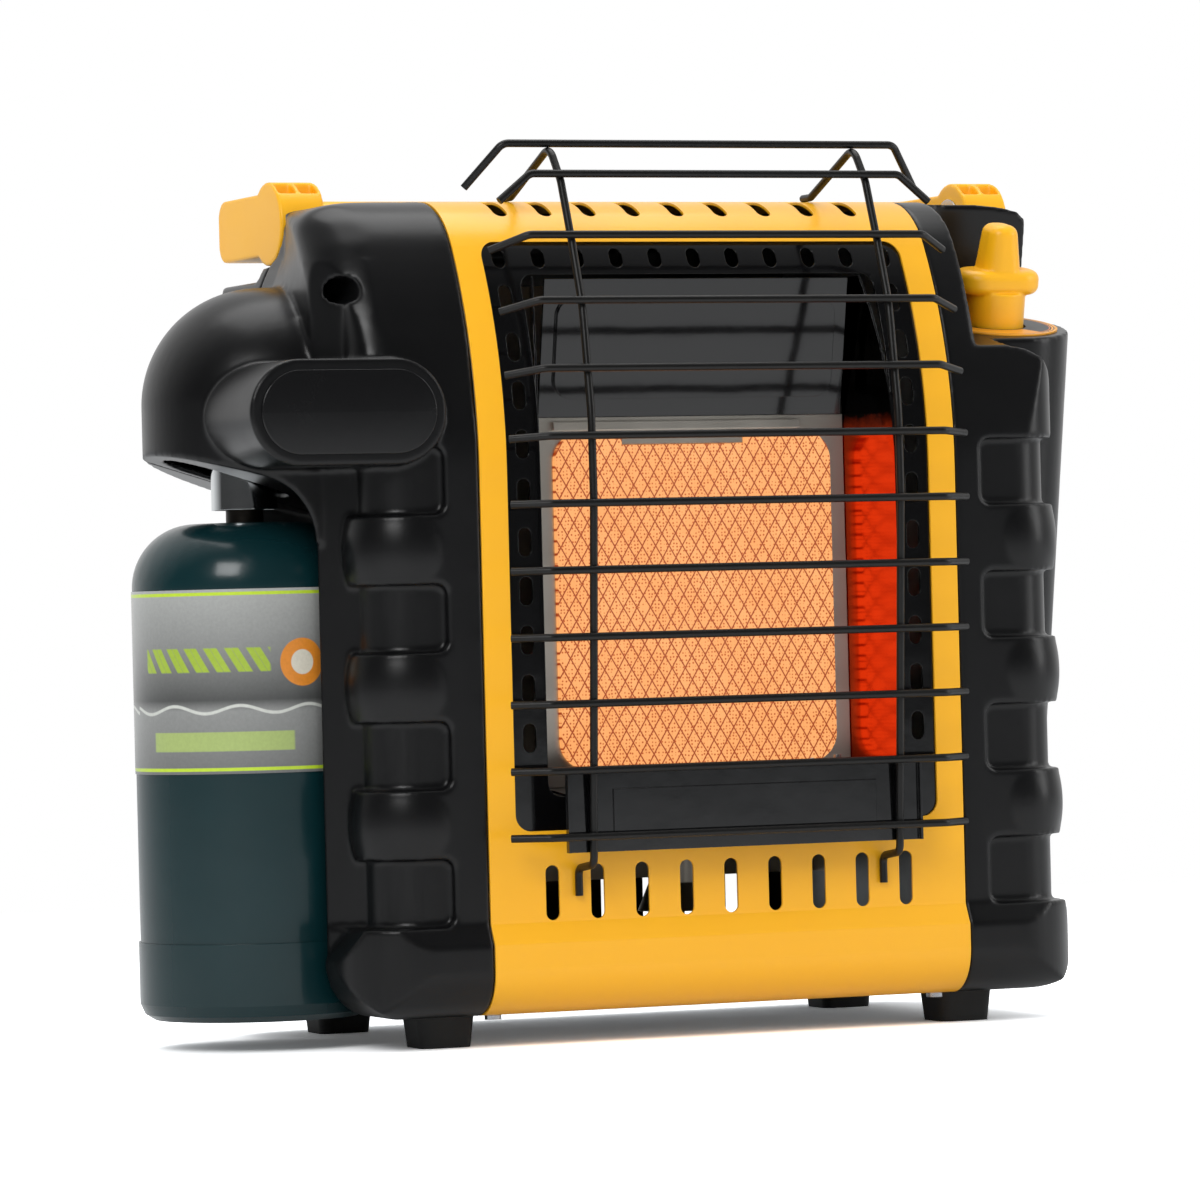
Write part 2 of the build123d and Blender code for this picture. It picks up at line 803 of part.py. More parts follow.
def boot_outline(inner_x):
    """Plan of the boot of a right-hand housing, with its large front corner."""
    front = front_y - boot_flare
    corner = (boot_half_width - boot_corner_radius, front + boot_corner_radius)
    rear_centre = (boot_half_width - rear_corner_radius, back_y - rear_corner_radius)
    edges = [
        Line((inner_x, front), (corner[0], front)),
        arc(corner, boot_corner_radius, -90, 0),
        Line((boot_half_width, corner[1]), (boot_half_width, rear_centre[1])),
        arc(rear_centre, rear_corner_radius, 0, 90),
        Line((rear_centre[0], back_y), (inner_x, back_y)),
        Line((inner_x, back_y), (inner_x, front)),
    ]
    return make_face(edges)


def front_depth(height):
    """Depth of the body's front at a height above the flat part."""
    top_centre_z = body_top - top_front_radius
    centre_y = front_y + front_arc_radius
    lean = atan2(top_centre_z - front_arc_start_z, top_front_centre_y - centre_y)
    if height < top_centre_z + top_front_radius * sin(lean):
        return centre_y - sqrt(front_arc_radius**2 - (height - front_arc_start_z) ** 2)
    rise = min(height - top_centre_z, top_front_radius - 1)
    return top_front_centre_y - sqrt(top_front_radius**2 - rise**2)


def shoulder_corner(sections, inset):
    """Limit of a housing: open below, with a rounded front corner and a slanting side above."""
    radius = shoulder_corner_radius
    views = []
    for height, side_x in sections:
        front = front_depth(height) - shoulder_front_gap
        corner = (body_half_width - radius, front + radius)
        view = make_face(
            [
                Line((0, front), (corner[0], front)),
                arc(corner, radius, -90, 0),
                Line((body_half_width, corner[1]), (side_x, shoulder_back_y)),
                Line((side_x, shoulder_back_y), (side_x, far)),
                Line((side_x, far), (0, far)),
                Line((0, far), (0, front)),
            ]
        )
        views.append(Plane.XY.offset(height) * drawn_in(view, inset))
    below = block(0, far, -far, far, -far, shoulder_corner_z)
    return below + loft(views, ruled=True)


def housing_block(column_x, recess, inset):
    """Upright block of a housing with its wider boot, before its side view trims it."""
    plan = drawn_in(plan_outline(column_x, inner_edge(inset), recess), inset)
    boot_plan = drawn_in(boot_outline(inner_edge(inset)), inset)
    low = floor_gap + inset
    tall = upright(plan, low, body_top)
    boot = upright(boot_plan, low, boot_top_z - inset) & backwards(boot_view(inset), -far, far)
    return tall + boot


def pocket_cuts(column_x, pocket_inner_x, inset):
    """Square grip pockets round the column, all of them, for the right-hand side."""
    core = drawn_in(plan_outline(column_x, inner_edge(inset), pocket_depth), inset)
    core_block = upright(core, 0, body_top)
    cuts = []
    for index in range(pocket_count):
        low = pocket_first_z + index * pocket_pitch
        view = rounded_box(
            pocket_inner_x - inset,
            body_half_width + 30,
            low - inset,
            low + pocket_height + inset,
            pocket_corner_radius + inset,
        )
        cuts.append(backwards(view, front_y - 10, column_y) - core_block)
    low = pocket_first_z
    high = pocket_first_z + (pocket_count - 1) * pocket_pitch + pocket_height
    strip = block(column_x, body_half_width + 30, column_y, rim_y + inset, low - inset, high + inset)
    return cuts + [strip - core_block]


def barrels(column_x):
    """Rounded swellings of the grip column between the pockets."""
    made = []
    for index in range(pocket_count - 1):
        low = pocket_first_z + index * pocket_pitch + pocket_height
        high = low + pocket_pitch - pocket_height
        inner_radius = column_radius - pocket_depth - 1.0
        lens = make_face(
            [
                Line((inner_radius, low), (column_radius - 0.5, low)),
                ThreePointArc(
                    (column_radius - 0.5, low),
                    (column_radius + barrel_bulge, (low + high) / 2),
                    (column_radius - 0.5, high),
                ),
                Line((column_radius - 0.5, high), (inner_radius, high)),
                Line((inner_radius, high), (inner_radius, low)),
            ]
        )
        section = Plane(origin=(column_x, column_y, 0), x_dir=(1, 0, 0), z_dir=(0, -1, 0)) * lens
        turned = revolve(section, axis=Axis((column_x, column_y, 0), (0, 0, 1)))
        facing = block(column_x - 14, far, -far, column_y, 0, far)
        facing += block(column_x, far, column_y, column_y + 16, 0, far)
        made.append(turned & facing)
    return made


def notch_solid(inner_x, outer_x, inset):
    """Room for a handle hub and arm at the top rear corner, between two X."""
    radius = handle_hub_radius + notch_gap + inset
    low_z = handle_pivot_z - radius
    view = Location((handle_pivot_y, handle_pivot_z, 0)) * Circle(radius)
    view += view_box(handle_pivot_y, far, low_z, body_top + 40)
    view += view_box(handle_pivot_y + notch_step_y, far, low_z - notch_step, body_top + 40)
    view += view_box(handle_pivot_y - radius, far, handle_pivot_z, body_top + 40)
    return across(view, inner_x, outer_x)


# ------------------------------------------------------------ left housing with the regulator hood
def below_hood(inset):
    """Everything below the hood's slanting underside."""
    rise = inset * sqrt(1 + hood_slope**2)
    left_z = hood_left_z + hood_slope * 100 + rise
    right_z = hood_right_z - hood_slope * 100 + rise
    view = make_face(
        Polyline(
            (hood_left_x - 100, -50),
            (hood_left_x + hood_run + 100, -50),
            (hood_left_x + hood_run + 100, right_z),
            (hood_left_x - 100, left_z),
            close=True,
        )
    )
    return backwards(view, -far, far)


def hood_dome(inset):
    """Domed cover round the regulator."""
    radius = hood_radius - inset
    top = hood_top_z - inset
    corner = hood_corner_radius - inset
    centre = (radius - corner, top - corner)
    half = make_face(
        [
            Line((0, hood_right_z - 20), (radius, hood_right_z - 20)),
            Line((radius, hood_right_z - 20), (radius, centre[1])),
            arc(centre, corner, 0, 90),
            Line((centre[0], top), (0, top)),
            Line((0, top), (0, hood_right_z - 20)),
        ]
    )
    section = Plane(origin=(hood_x, cylinder_y, 0), x_dir=(1, 0, 0), z_dir=(0, -1, 0)) * half
    dome = revolve(section, axis=Axis((hood_x, cylinder_y, 0), (0, 0, 1)))
    return dome - below_hood(inset)


def plate_boss(inset):
    """Stadium-shaped pod in front of the hood."""
    view = Location((boss_x, boss_z, 0)) * SlotOverall(boss_width - 2 * inset, boss_height - 2 * inset)
    return backwards(view, boss_front_y + inset, cylinder_y - 25)


left_shoulder = [
    (body_half_width, 302.0),
    (167.0, 311.0),
    (165.0, 319.0),
    (162.0, 325.5),
    (159.4, 330.5),
    (157.6, 335.5),
    (156.8, 341.0),
    (156.4, 347.0),
    (155.0, 351.0),
    (151.0, 353.6),
    (144.0, 355.2),
    (132.0, body_top),
]


left_front_shoulder = [
    (body_half_width, 341.0),
    (167.2, 346.0),
    (165.0, 349.6),
    (160.6, 352.6),
    (153.0, 354.6),
    (144.0, 355.6),
    (132.0, body_top),
]
# Height, and where the side is at the handle
left_corner_sections = [
    (shoulder_corner_z, 167.6),
    (302.0, 167.4),
    (311.0, 166.6),
    (319.0, 164.6),
    (325.5, 161.8),
    (335.5, 157.4),
    (347.0, 156.4),
    (352.0, 156.2),
    (body_top + 10, 156.0),
]


def left_form(inset):
    """Left housing as a closed solid, drawn in by an inset."""
    side = across(profile_inset(inset), 0, far)
    main = housing_block(left_column_x, 0, inset) & side & shoulder_corner(left_corner_sections, inset)
    rear = backwards(shoulder_view(left_shoulder, inset), shoulder_back_y + inset, far)
    front = backwards(shoulder_view(left_front_shoulder, inset), -far, shoulder_back_y + inset)
    main &= front + rear
    main -= pocket_cuts(left_column_x, left_pocket_x, inset)
    main = mirrored(main)
    dock = rod((cylinder_x, cylinder_y, -10), (cylinder_x, cylinder_y, far), dock_radius + inset)
    main -= dock & below_hood(inset)
    main = main + hood_dome(inset) + plate_boss(inset)
    wall_x = handle_left_x + handle_arm_thickness + notch_gap
    return main - notch_solid(-far, wall_x + inset, inset)


post_radius = 6.0
rib_thickness = 3.0
counterbore_radius = 5.4
screw_radius = 1.75
screw_hole_radius = screw_radius + running_gap
screw_head_radius = 4.2
left_upper_post = (-158.5, 317.0)
left_lower_post = (-121.0, 60.0)
right_upper_post = (150.0, 318.0)
right_lower_post = (150.0, 60.0)
front_bore_end_y = 0.0
rear_bore_start_y = 45.0
screw_reach = 36.0


def post(place, y_from, y_to, radius):
    """Round bar along Y at an X and Z."""
    return rod((place[0], y_from, place[1]), (place[0], y_to, place[1]), radius)


def housing_shells(form, front_places, rear_places):
    """Front and rear shell of a housing with their screw posts."""
    outer = form(0)
    shell = outer - form(shell_wall)
    near_wall = block(-far, far, -far, far, 0, 100)
    for place in front_places + rear_places:
        side = 1 if place[0] > 0 else -1
        rib_ends = sorted((place[0], side * far))
        half = rib_thickness / 2
        rib = block(*rib_ends, split_y - screw_reach, split_y + screw_reach, place[1] - half, place[1] + half)
        shell += rib & outer & near_wall
    for place in front_places:
        shell += post(place, -far, split_y + screw_reach, post_radius + 2.5) & outer
        shell -= post(place, front_bore_end_y - 1, front_bore_end_y + screw_reach + 1, screw_hole_radius)
    for place in rear_places:
        shell += post(place, split_y - screw_reach, far, post_radius + 2.5) & outer
        shell -= post(place, rear_bore_start_y - screw_reach - 1, rear_bore_start_y + 1, screw_hole_radius)
    for place in front_places:
        shell -= post(place, -far, front_bore_end_y, counterbore_radius)
    for place in rear_places:
        shell -= post(place, rear_bore_start_y, far, counterbore_radius)
    front = shell & block(-far, far, -far, split_y, -50, far)
    rear = shell & block(-far, far, split_y, far, -50, far)
    return front, rear


web_radius = 30.0


def hood_web():
    """Curved web that runs from the hood's underside down into the edge of the dock."""
    lean = degrees(atan2(hood_slope, 1.0))
    edge_x = -body_half_width
    edge_z = hood_left_z + hood_slope * (hood_left_x - edge_x)
    reach = web_radius / sin(radians((90.0 + lean) / 2)) * cos(radians((90.0 + lean) / 2))
    low = (edge_x, edge_z - reach)
    high = (edge_x - reach * cos(radians(lean)), edge_z + reach * sin(radians(lean)))
    centre = (edge_x - web_radius, low[1])
    turn = 90.0 - lean
    view = make_face(
        [
            Line((edge_x + 6, low[1]), low),
            arc(centre, web_radius, 0, turn),
            Line(high, (high[0], high[1] + 6)),
            Line((high[0], high[1] + 6), (edge_x + 6, high[1] + 6)),
            Line((edge_x + 6, high[1] + 6), (edge_x + 6, low[1])),
        ]
    )
    band_low = (hood_x, cylinder_y, low[1] - 1)
    band_high = (hood_x, cylinder_y, hood_left_z + 6)
    band = ring(band_low, band_high, hood_radius, hood_radius - shell_wall)
    return band & backwards(view, front_y, cylinder_y - 30)


left_front, left_rear = housing_shells(left_form, [left_upper_post], [left_lower_post])
left_front += hood_web()
left_front += [mirrored(barrel) for barrel in barrels(left_column_x)]

hood_slot_width = 34.0
hood_slot_left_x = -214.0
hood_slot_right_x = -163.0
hood_slot = upright(
    Location(((hood_slot_left_x + hood_slot_right_x) / 2, cylinder_y, 0))
    * SlotOverall(hood_slot_right_x - hood_slot_left_x + 2, hood_slot_width),
    hood_right_z - 15,
    hood_left_z + 6,
)
left_front -= hood_slot
left_rear -= hood_slot
keep("left_front_housing", left_front)
keep("left_rear_housing", left_rear)

plaque_inset = 4.5
plaque_thickness = 0.8
plaque_outline = SlotOverall(boss_width - 2 * plaque_inset, boss_height - 2 * plaque_inset)
plaque_view = Location((boss_x, boss_z, 0)) * plaque_outline
keep("name_plate", backwards(plaque_view, boss_front_y - plaque_thickness, boss_front_y))

# ------------------------------------------------------------ right housing with the control tower
knob_plane = Plane(
    origin=(knob_x, knob_y, shelf_z),
    x_dir=(1, 0, 0),
    z_dir=(0, -sin(radians(shelf_tilt)), cos(radians(shelf_tilt))),
)


def along_knob(sketch, low, high):
    """Solid along the knob's axis, measured from the shelf."""
    return extrude(knob_plane.offset(low) * sketch, high - low)


def tower_plan(shrink):
    """Plan of the control tower and of the block behind it, drawn in by an amount."""
    radius = tower_radius - shrink
    right = tower_block_x - shrink
    rear = back_y - shrink
    corner = max(rear_corner_radius - shrink, 2.0)
    inner = housing_inner_x - 8.0
    turn = degrees(atan2(sqrt(radius**2 - (right - knob_x) ** 2), right - knob_x))
    edges = [
        arc((knob_x, knob_y), radius, -90, turn),
        Line(polar((knob_x, knob_y), radius, turn), (right, rear - corner)),
        arc((right - corner, rear - corner), corner, 0, 90),
        Line((right - corner, rear), (inner, rear)),
        Line((inner, rear), (inner, knob_y - radius)),
        Line((inner, knob_y - radius), (knob_x, knob_y - radius)),
    ]
    return make_face(edges)


tower_taper = tower_block_x - body_half_width + 3.0


def tower(inset):
    """Control tower: straight at the top, tapering into the side below the shelf."""
    upper = upright(tower_plan(inset), shelf_z - 5, body_top)
    high = Plane.XY.offset(shelf_z - 5) * tower_plan(inset)
    low = Plane.XY.offset(tower_foot_z) * tower_plan(tower_taper + inset - 0.01)
    return upper + loft([low, high])


def shelf_cut(inset):
    """Space above the sloping shelf, with a hollow behind the knob."""
    left = -shelf_cut_width - inset
    rear = shelf_cut_depth + inset
    radius = shelf_cut_radius + inset
    centre = (left + radius, rear - radius)
    view = make_face(
        [
            Line((left, -far), (left, centre[1])),
            arc(centre, radius, 180, 90),
            Line((centre[0], rear), (far, rear)),
            Line((far, rear), (far, -far)),
            Line((far, -far), (left, -far)),
        ]
    )
    return extrude(knob_plane.offset(-inset) * view, 120)


right_shoulder = [
    (knob_x + tower_radius, 320.0),
    (tower_block_x + 0.4, 332.0),
    (tower_block_x + 0.2, 346.0),
    (tower_block_x - 0.8, 350.0),
    (tower_block_x - 3.8, 352.8),
    (tower_block_x - 12.0, 354.8),
    (tower_block_x - 24.0, body_top),
]


def crown_cut(inset):
    """Space over the rounded top of the right grip column, ahead of the control tower."""
    corner = block(right_column_x - inset, far, -far, knob_y - inset, crown_z, far)
    return corner - post((right_column_x, crown_z), -far, far, column_radius - inset)


def right_form(inset):
    """Right housing as a closed solid, drawn in by an inset."""
    side = across(profile_inset(inset), 0, far)
    main = housing_block(right_column_x, 0, inset)
    main -= crown_cut(inset)
    main -= pocket_cuts(right_column_x, right_pocket_x, inset)
    main = main + tower(inset)
    main &= side
    main &= backwards(shoulder_view(right_shoulder, inset), -far, far)
    main &= block(inner_edge(inset) + inset, far, -far, far, -far, far)
    main -= shelf_cut(inset)
    wall_x = handle_right_x - handle_arm_thickness - notch_gap
    return main - notch_solid(wall_x - inset, far, inset)


shelf_hole_radius = knob_skirt_radius + 1.0
right_front, right_rear = housing_shells(right_form, [], [right_upper_post, right_lower_post])
right_front += barrels(right_column_x)
right_front -= along_knob(Circle(shelf_hole_radius), -8, 2)
keep("right_front_housing", right_front)
keep("right_rear_housing", right_rear)

ring_inner_radius = 25.4
dial_thickness = 0.8
keep("dial_ring", along_knob(Circle(dial_radius) - Circle(ring_inner_radius), 0, dial_thickness))
keep("dial_disc", along_knob(Circle(ring_inner_radius - 0.1) - Circle(shelf_hole_radius), 0, dial_thickness))

# ------------------------------------------------------------ gas valve, stem and knob
valve_top = -18.0
valve_length = 38.0
valve_width = 32.0
rotor_radius = 8.0
rotor_length = 20.0
rotor_top = -22.0
bonnet_thickness = 4.0
stem_bottom = -32.0
knob_bottom = -2.0
knob_top = knob_skirt_height + knob_flange_height + knob_grip_height
stem_top = 14.0

valve_body = along_knob(Rectangle(valve_width, valve_width), valve_top - valve_length, valve_top)
valve_body -= along_knob(Circle(rotor_radius + running_gap), rotor_top - rotor_length - 0.2, valve_top)
valve_port_z = 262.0
valve_low_z = 242.0
burner_port = (knob_x - 12, knob_y)
pilot_port = (knob_x - 2, knob_y - 6)
port_radius = 4.0
ports = [
    rod((knob_x - 34, knob_y, valve_port_z), (knob_x - 15, knob_y, valve_port_z), 5.5),
    rod((*burner_port, valve_low_z), (*burner_port, valve_low_z + 8), port_radius),
    rod((*pilot_port, valve_low_z), (*pilot_port, valve_low_z + 8), port_radius),
]
keep("gas_valve", valve_body + ports)

valve_bracket_thickness = 2.0
valve_bracket_front = 2.0  # from the knob's axis to the rear
valve_bracket_flange = 16.0


def valve_bracket():
    """Angle bracket that carries the valve on the right side plate."""
    plate_x = side_plate_outer_x + seat_gap
    high = valve_top - valve_length - seat_gap
    arm_view = view_box(plate_x - knob_x, valve_width / 2, valve_bracket_front, valve_width / 2)
    arm = along_knob(arm_view, high - valve_bracket_thickness, high)
    flange_view = view_box(
        plate_x - knob_x, plate_x - knob_x + valve_bracket_thickness, valve_bracket_front, valve_width / 2
    )
    return arm + along_knob(flange_view, high - valve_bracket_flange, high)


keep("valve_bracket", valve_bracket())
keep(
    "valve_bonnet",
    along_knob(Circle(15), valve_top, valve_top + bonnet_thickness)
    - along_knob(Circle(stem_radius + 0.3), valve_top, valve_top + bonnet_thickness),
)
keep(
    "valve_rotor",
    along_knob(Circle(rotor_radius), rotor_top - rotor_length, rotor_top)
    - along_knob(Circle(stem_radius + running_gap), stem_bottom - knob_travel - 1, rotor_top),
)
keep("valve_stem", along_knob(Circle(stem_radius), stem_bottom, stem_top))

spring_wire = 0.6
spring_radius = 6.5
spring_turns = 4
spring_low = valve_top + bonnet_thickness + spring_wire
spring_height = 4.2


def knob_spring():
    """Coil spring round the stem, on the bonnet."""
    helix = Helix(pitch=spring_height / spring_turns, height=spring_height, radius=spring_radius)
    section = Plane(origin=helix @ 0, z_dir=helix % 0) * Circle(spring_wire)
    return knob_plane.offset(spring_low).location * sweep(section, path=helix, is_frenet=True)


keep("knob_spring", knob_spring())

flange_length = 38.0
flange_width = 23.0
grip_length = 19.0
grip_width = 20.0
grip_top_length = 12.5
grip_top_width = 17.0


def knob():
    """Control knob: skirt, round flange, finger grip across the top, bore for the stem."""
    flange_low = knob_skirt_height
    flange_high = flange_low + knob_flange_height
    body = along_knob(Circle(knob_skirt_radius), knob_bottom, flange_low + 1)
    flange = along_knob(RectangleRounded(flange_length, flange_width, 11.0), flange_low, flange_high)
    flange = fillet(flange.edges(), 4.0)
    grip_low = knob_plane.offset(flange_high - 5) * RectangleRounded(grip_length, grip_width, 7.0)
    grip_high = knob_plane.offset(knob_top) * RectangleRounded(grip_top_length, grip_top_width, 5.9)
    grip = loft([grip_low, grip_high])
    grip = fillet(grip.faces().sort_by(knob_plane.location.z_axis)[-1].edges(), 4.5)
    hollow_view = Circle(knob_skirt_radius - 2) - Circle(stem_radius + 2.5)
    hollow = along_knob(hollow_view, knob_bottom, flange_low - 2)
    bore = along_knob(Circle(stem_radius + 0.02), knob_bottom, stem_top)
    return body + flange + grip - hollow - bore


keep("control_knob", knob())

igniter_radius = 5.0
igniter_offset = valve_width / 2 + igniter_radius + seat_gap
keep(
    "piezo_igniter",
    along_knob(Location((0, igniter_offset, 0)) * Circle(igniter_radius), valve_top - 34, valve_top - 2),
)

# ------------------------------------------------------------ regulator and its swivel
regulator_place = (cylinder_x, regulator_pivot_z)
half_thickness = regulator_thickness / 2
nut_outer_radius = 14.0
nut_bore_radius = 12.8
nut_low_z = 227.5
nut_high_z = regulator_pivot_z - regulator_radius + 6
thread_radius = 12.7
neck_waist_radius = 8.0
neck_seat_z = 239.0
pin_radius = 7.0
pin_length = 9.0
bonnet_depth = 4.5
pin_front_y = cylinder_y - half_thickness
pin_back_y = cylinder_y + half_thickness


def regulator_body():
    """Round die-cast regulator with a stem down to the connector and two swivel pins."""
    drum = post(regulator_place, pin_front_y + bonnet_depth, pin_back_y, regulator_radius)
    stem_low = (cylinder_x, cylinder_y, nut_high_z - 12)
    stem_high = (cylinder_x, cylinder_y, regulator_pivot_z - 10)
    stem = rod(stem_low, stem_high, 10)
    pin = post(regulator_place, pin_back_y - 1, pin_back_y + pin_length, pin_radius)
    probe = rod((cylinder_x, cylinder_y, neck_seat_z + 0.3), (cylinder_x, cylinder_y, nut_high_z - 10), 5)
    return drum + stem + pin + probe


regulator = regulator_body()
nut = rod((cylinder_x, cylinder_y, nut_low_z), (cylinder_x, cylinder_y, nut_high_z - 1), nut_outer_radius)
nut -= rod((cylinder_x, cylinder_y, nut_low_z), (cylinder_x, cylinder_y, neck_seat_z + 0.4), nut_bore_radius)
nut -= rod((cylinder_x, cylinder_y, nut_low_z), (cylinder_x, cylinder_y, nut_high_z), 10.0)
nut -= post(regulator_place, pin_front_y, pin_back_y, regulator_radius)
keep("regulator_body", regulator)
keep("connector_nut", nut)
cover_front_y = pin_front_y
keep(
    "regulator_bonnet",
    post(regulator_place, cover_front_y, pin_front_y + bonnet_depth, regulator_radius - 3)
    + post(regulator_place, cover_front_y - pin_length, cover_front_y, pin_radius),
)
bearing_gap = 0.08
bearing_front_y = cover_front_y - pin_length - 0.3
bearing_back_y = pin_back_y + pin_length + 0.3


front_cup = post(regulator_place, bearing_front_y - 3, cover_front_y - 0.5, pin_radius + 4)
front_cup -= post(regulator_place, bearing_front_y, cover_front_y, pin_radius + bearing_gap)
back_cup = post(regulator_place, pin_back_y + 0.5, bearing_back_y + 3, pin_radius + 4)
back_cup -= post(regulator_place, pin_back_y, bearing_back_y, pin_radius + bearing_gap)
front_arm = block(
    cylinder_x - 4, cylinder_x + 4, boss_front_y + shell_wall, bearing_front_y - 3, boss_z - 6, boss_z + 6
)
back_arm = block(
    cylinder_x + 9,
    -side_plate_outer_x - seat_gap,
    bearing_back_y - 4,
    bearing_back_y + 3,
    regulator_pivot_z - 5,
    regulator_pivot_z + 5,
)
keep("front_swivel_bearing", front_cup + front_arm)
keep("swivel_union", back_cup + (back_arm & left_form(shell_wall)))

# ------------------------------------------------------------ gas cylinder
foot_ring_top_z = 46.0
foot_ring_thickness = 0.8
label_low_z = 117.0
label_high_z = 194.0
label_thickness = 0.4
shell_radius = cylinder_radius - foot_ring_thickness
cylinder_axis = Axis((cylinder_x, cylinder_y, 0), (0, 0, 1))
cylinder_section = Plane(origin=(cylinder_x, cylinder_y, 0), x_dir=(1, 0, 0), z_dir=(0, -1, 0))


def cylinder_shell():
    """Hollow steel vessel with a domed shoulder and a round bottom."""
    bottom = cylinder_bottom_z + 4
    wall = sheet
    dome_rise = cylinder_top_z - cylinder_shoulder_z
    dome_middle = polar((shell_radius - dome_rise, cylinder_shoulder_z), dome_rise, 45)
    outside = [
        Line((0, bottom), (shell_radius - 14, bottom)),
        ThreePointArc(
            (shell_radius - 14, bottom),
            polar((shell_radius - 14, bottom + 14), 14, -45),
            (shell_radius, bottom + 14),
        ),
        Line((shell_radius, bottom + 14), (shell_radius, cylinder_shoulder_z)),
        ThreePointArc(
            (shell_radius, cylinder_shoulder_z), dome_middle, (shell_radius - dome_rise, cylinder_top_z)
        ),
        Line((shell_radius - dome_rise, cylinder_top_z), (0, cylinder_top_z)),
        Line((0, cylinder_top_z), (0, bottom)),
    ]
    solid = revolve(cylinder_section * make_face(outside), axis=cylinder_axis)
    inside = revolve(cylinder_section * offset(make_face(outside), amount=-wall), axis=cylinder_axis)
    core = rod((cylinder_x, cylinder_y, bottom + wall), (cylinder_x, cylinder_y, cylinder_top_z - wall), 3)
    return solid - inside - core


keep("gas_cylinder", cylinder_shell())


def foot_ring():
    """Sleeve round the bottom of the cylinder, on which it stands."""
    outline = make_face(
        Polyline(
            (shell_radius + 0.02, foot_ring_top_z),
            (cylinder_radius, foot_ring_top_z),
            (cylinder_radius, cylinder_bottom_z + 7),
            (cylinder_radius - 2, cylinder_bottom_z + 2.5),
            (cylinder_radius - 6, cylinder_bottom_z),
            (cylinder_radius - 8, cylinder_bottom_z),
            (cylinder_radius - 8, cylinder_bottom_z + 3.7),
            (shell_radius + 0.02, cylinder_bottom_z + 16),
            close=True,
        )
    )
    sleeve = revolve(cylinder_section * outline, axis=cylinder_axis)
    return sleeve - revolve(
        cylinder_section
        * make_face(
            [
                Line((0, cylinder_bottom_z + 3.98), (shell_radius - 14, cylinder_bottom_z + 3.98)),
                ThreePointArc(
                    (shell_radius - 14, cylinder_bottom_z + 3.98),
                    polar((shell_radius - 14, cylinder_bottom_z + 18), 14.02, -45),
                    (shell_radius + 0.02, cylinder_bottom_z + 18),
                ),
                Line((shell_radius + 0.02, cylinder_bottom_z + 18), (0, cylinder_bottom_z + 18)),
                Line((0, cylinder_bottom_z + 18), (0, cylinder_bottom_z + 3.98)),
            ]
        ),
        axis=cylinder_axis,
    )


keep("cylinder_foot_ring", foot_ring())


def on_cylinder_axis(z_from, z_to, radius):
    """Round bar on the cylinder's axis."""
    return rod((cylinder_x, cylinder_y, z_from), (cylinder_x, cylinder_y, z_to), radius)


keep(
    "cylinder_label",
    on_cylinder_axis(label_low_z, label_high_z, shell_radius + label_thickness + 0.02)
    - on_cylinder_axis(label_low_z, label_high_z, shell_radius + 0.02),
)
keep(
    "cylinder_neck",
    on_cylinder_axis(cylinder_top_z, nut_low_z + 0.5, neck_waist_radius)
    + on_cylinder_axis(nut_low_z + 0.5, neck_seat_z, thread_radius)
    - on_cylinder_axis(neck_seat_z - 6, neck_seat_z, 4.0),
)

# ------------------------------------------------------------ gas tubes and tip-over switch
tube_radius = 3.0
tube_end_gap = 0.5  # a tube's square end below its port
pilot_radius = 1.6
union_y = bearing_back_y + 3

elbow_bend = 1.3 * tube_radius
inlet_drop_x = knob_x - 42.0
keep(
    "inlet_tube",
    bent_wire(
        [
            (-121.0, union_y, regulator_pivot_z),
            (-121.0, inlet_tube_y + 8, regulator_pivot_z),
            (-112.0, inlet_tube_y, inlet_tube_z),
            (inlet_drop_x, inlet_tube_y, inlet_tube_z),
            (inlet_drop_x, knob_y, valve_port_z),
            (knob_x - 34, knob_y, valve_port_z),
        ],
        tube_radius,
        elbow_bend,
    ),
)
keep(
    "burner_tube",
    bent_wire(
        [
            (*burner_port, valve_low_z - tube_end_gap),
            (burner_port[0], burner_tube_y, burner_tube_z),
            (9.0, burner_tube_y, burner_tube_z),
        ],
        2.5,
        8.0,
    ),
)
keep(
    "pilot_tube",
    bent_wire(
        [
            (*pilot_port, valve_low_z - tube_end_gap),
            (knob_x - 22, pilot_tube_y, pilot_tube_z),
            (pilot_x, pilot_tube_y, pilot_tube_z),
            (pilot_x, pilot_y, 94.0),
        ],
        pilot_radius,
        4.5,
    ),
)

switch_x = 62.0
switch_y = 10.0
keep(
    "tip_switch",
    block(switch_x - 14, switch_x + 14, switch_y - 10, switch_y + 10, pan_top_z, pan_top_z + 3)
    + block(switch_x - 10, switch_x + 10, switch_y - 8, switch_y + 8, pan_top_z + 3, pan_top_z + 26),
)

# ------------------------------------------------------------ wire guard and rack
wire = 2 * wire_radius
panel_touch_y = front_y - wire_radius
rod_path = [
    (panel_touch_y, 62.5),
    (panel_touch_y, 74.0),
    (-115.2, 76.0),
    (-125.0, 228.0),
    (-124.6, 262.0),
    (-117.8, 308.0),
    (-108.0, 335.0),
    (-97.5, 361.0),
    (-86.0, 375.8),
    (-41.0, body_top + wire_radius + seat_gap),
    (-33.0, body_top + wire_radius + seat_gap),
]
rod_bends = [3.5, 3.5, 60.0, 60.0, 60.0, 60.0, 12.0, 8.0, 5.0]


def guard_rod(x):
    """Upright wire from its lower hook over the top to its rear foot."""
    points = [(x, y, z) for y, z in rod_path]
    path = FilletPolyline(*points, radius=rod_bends)
    section = Plane(origin=path @ 0, z_dir=path % 0) * Circle(wire_radius)
    return sweep(section, path=path)


keep("guard_rods", one([guard_rod(-rod_half_spacing), guard_rod(rod_half_spacing)]))


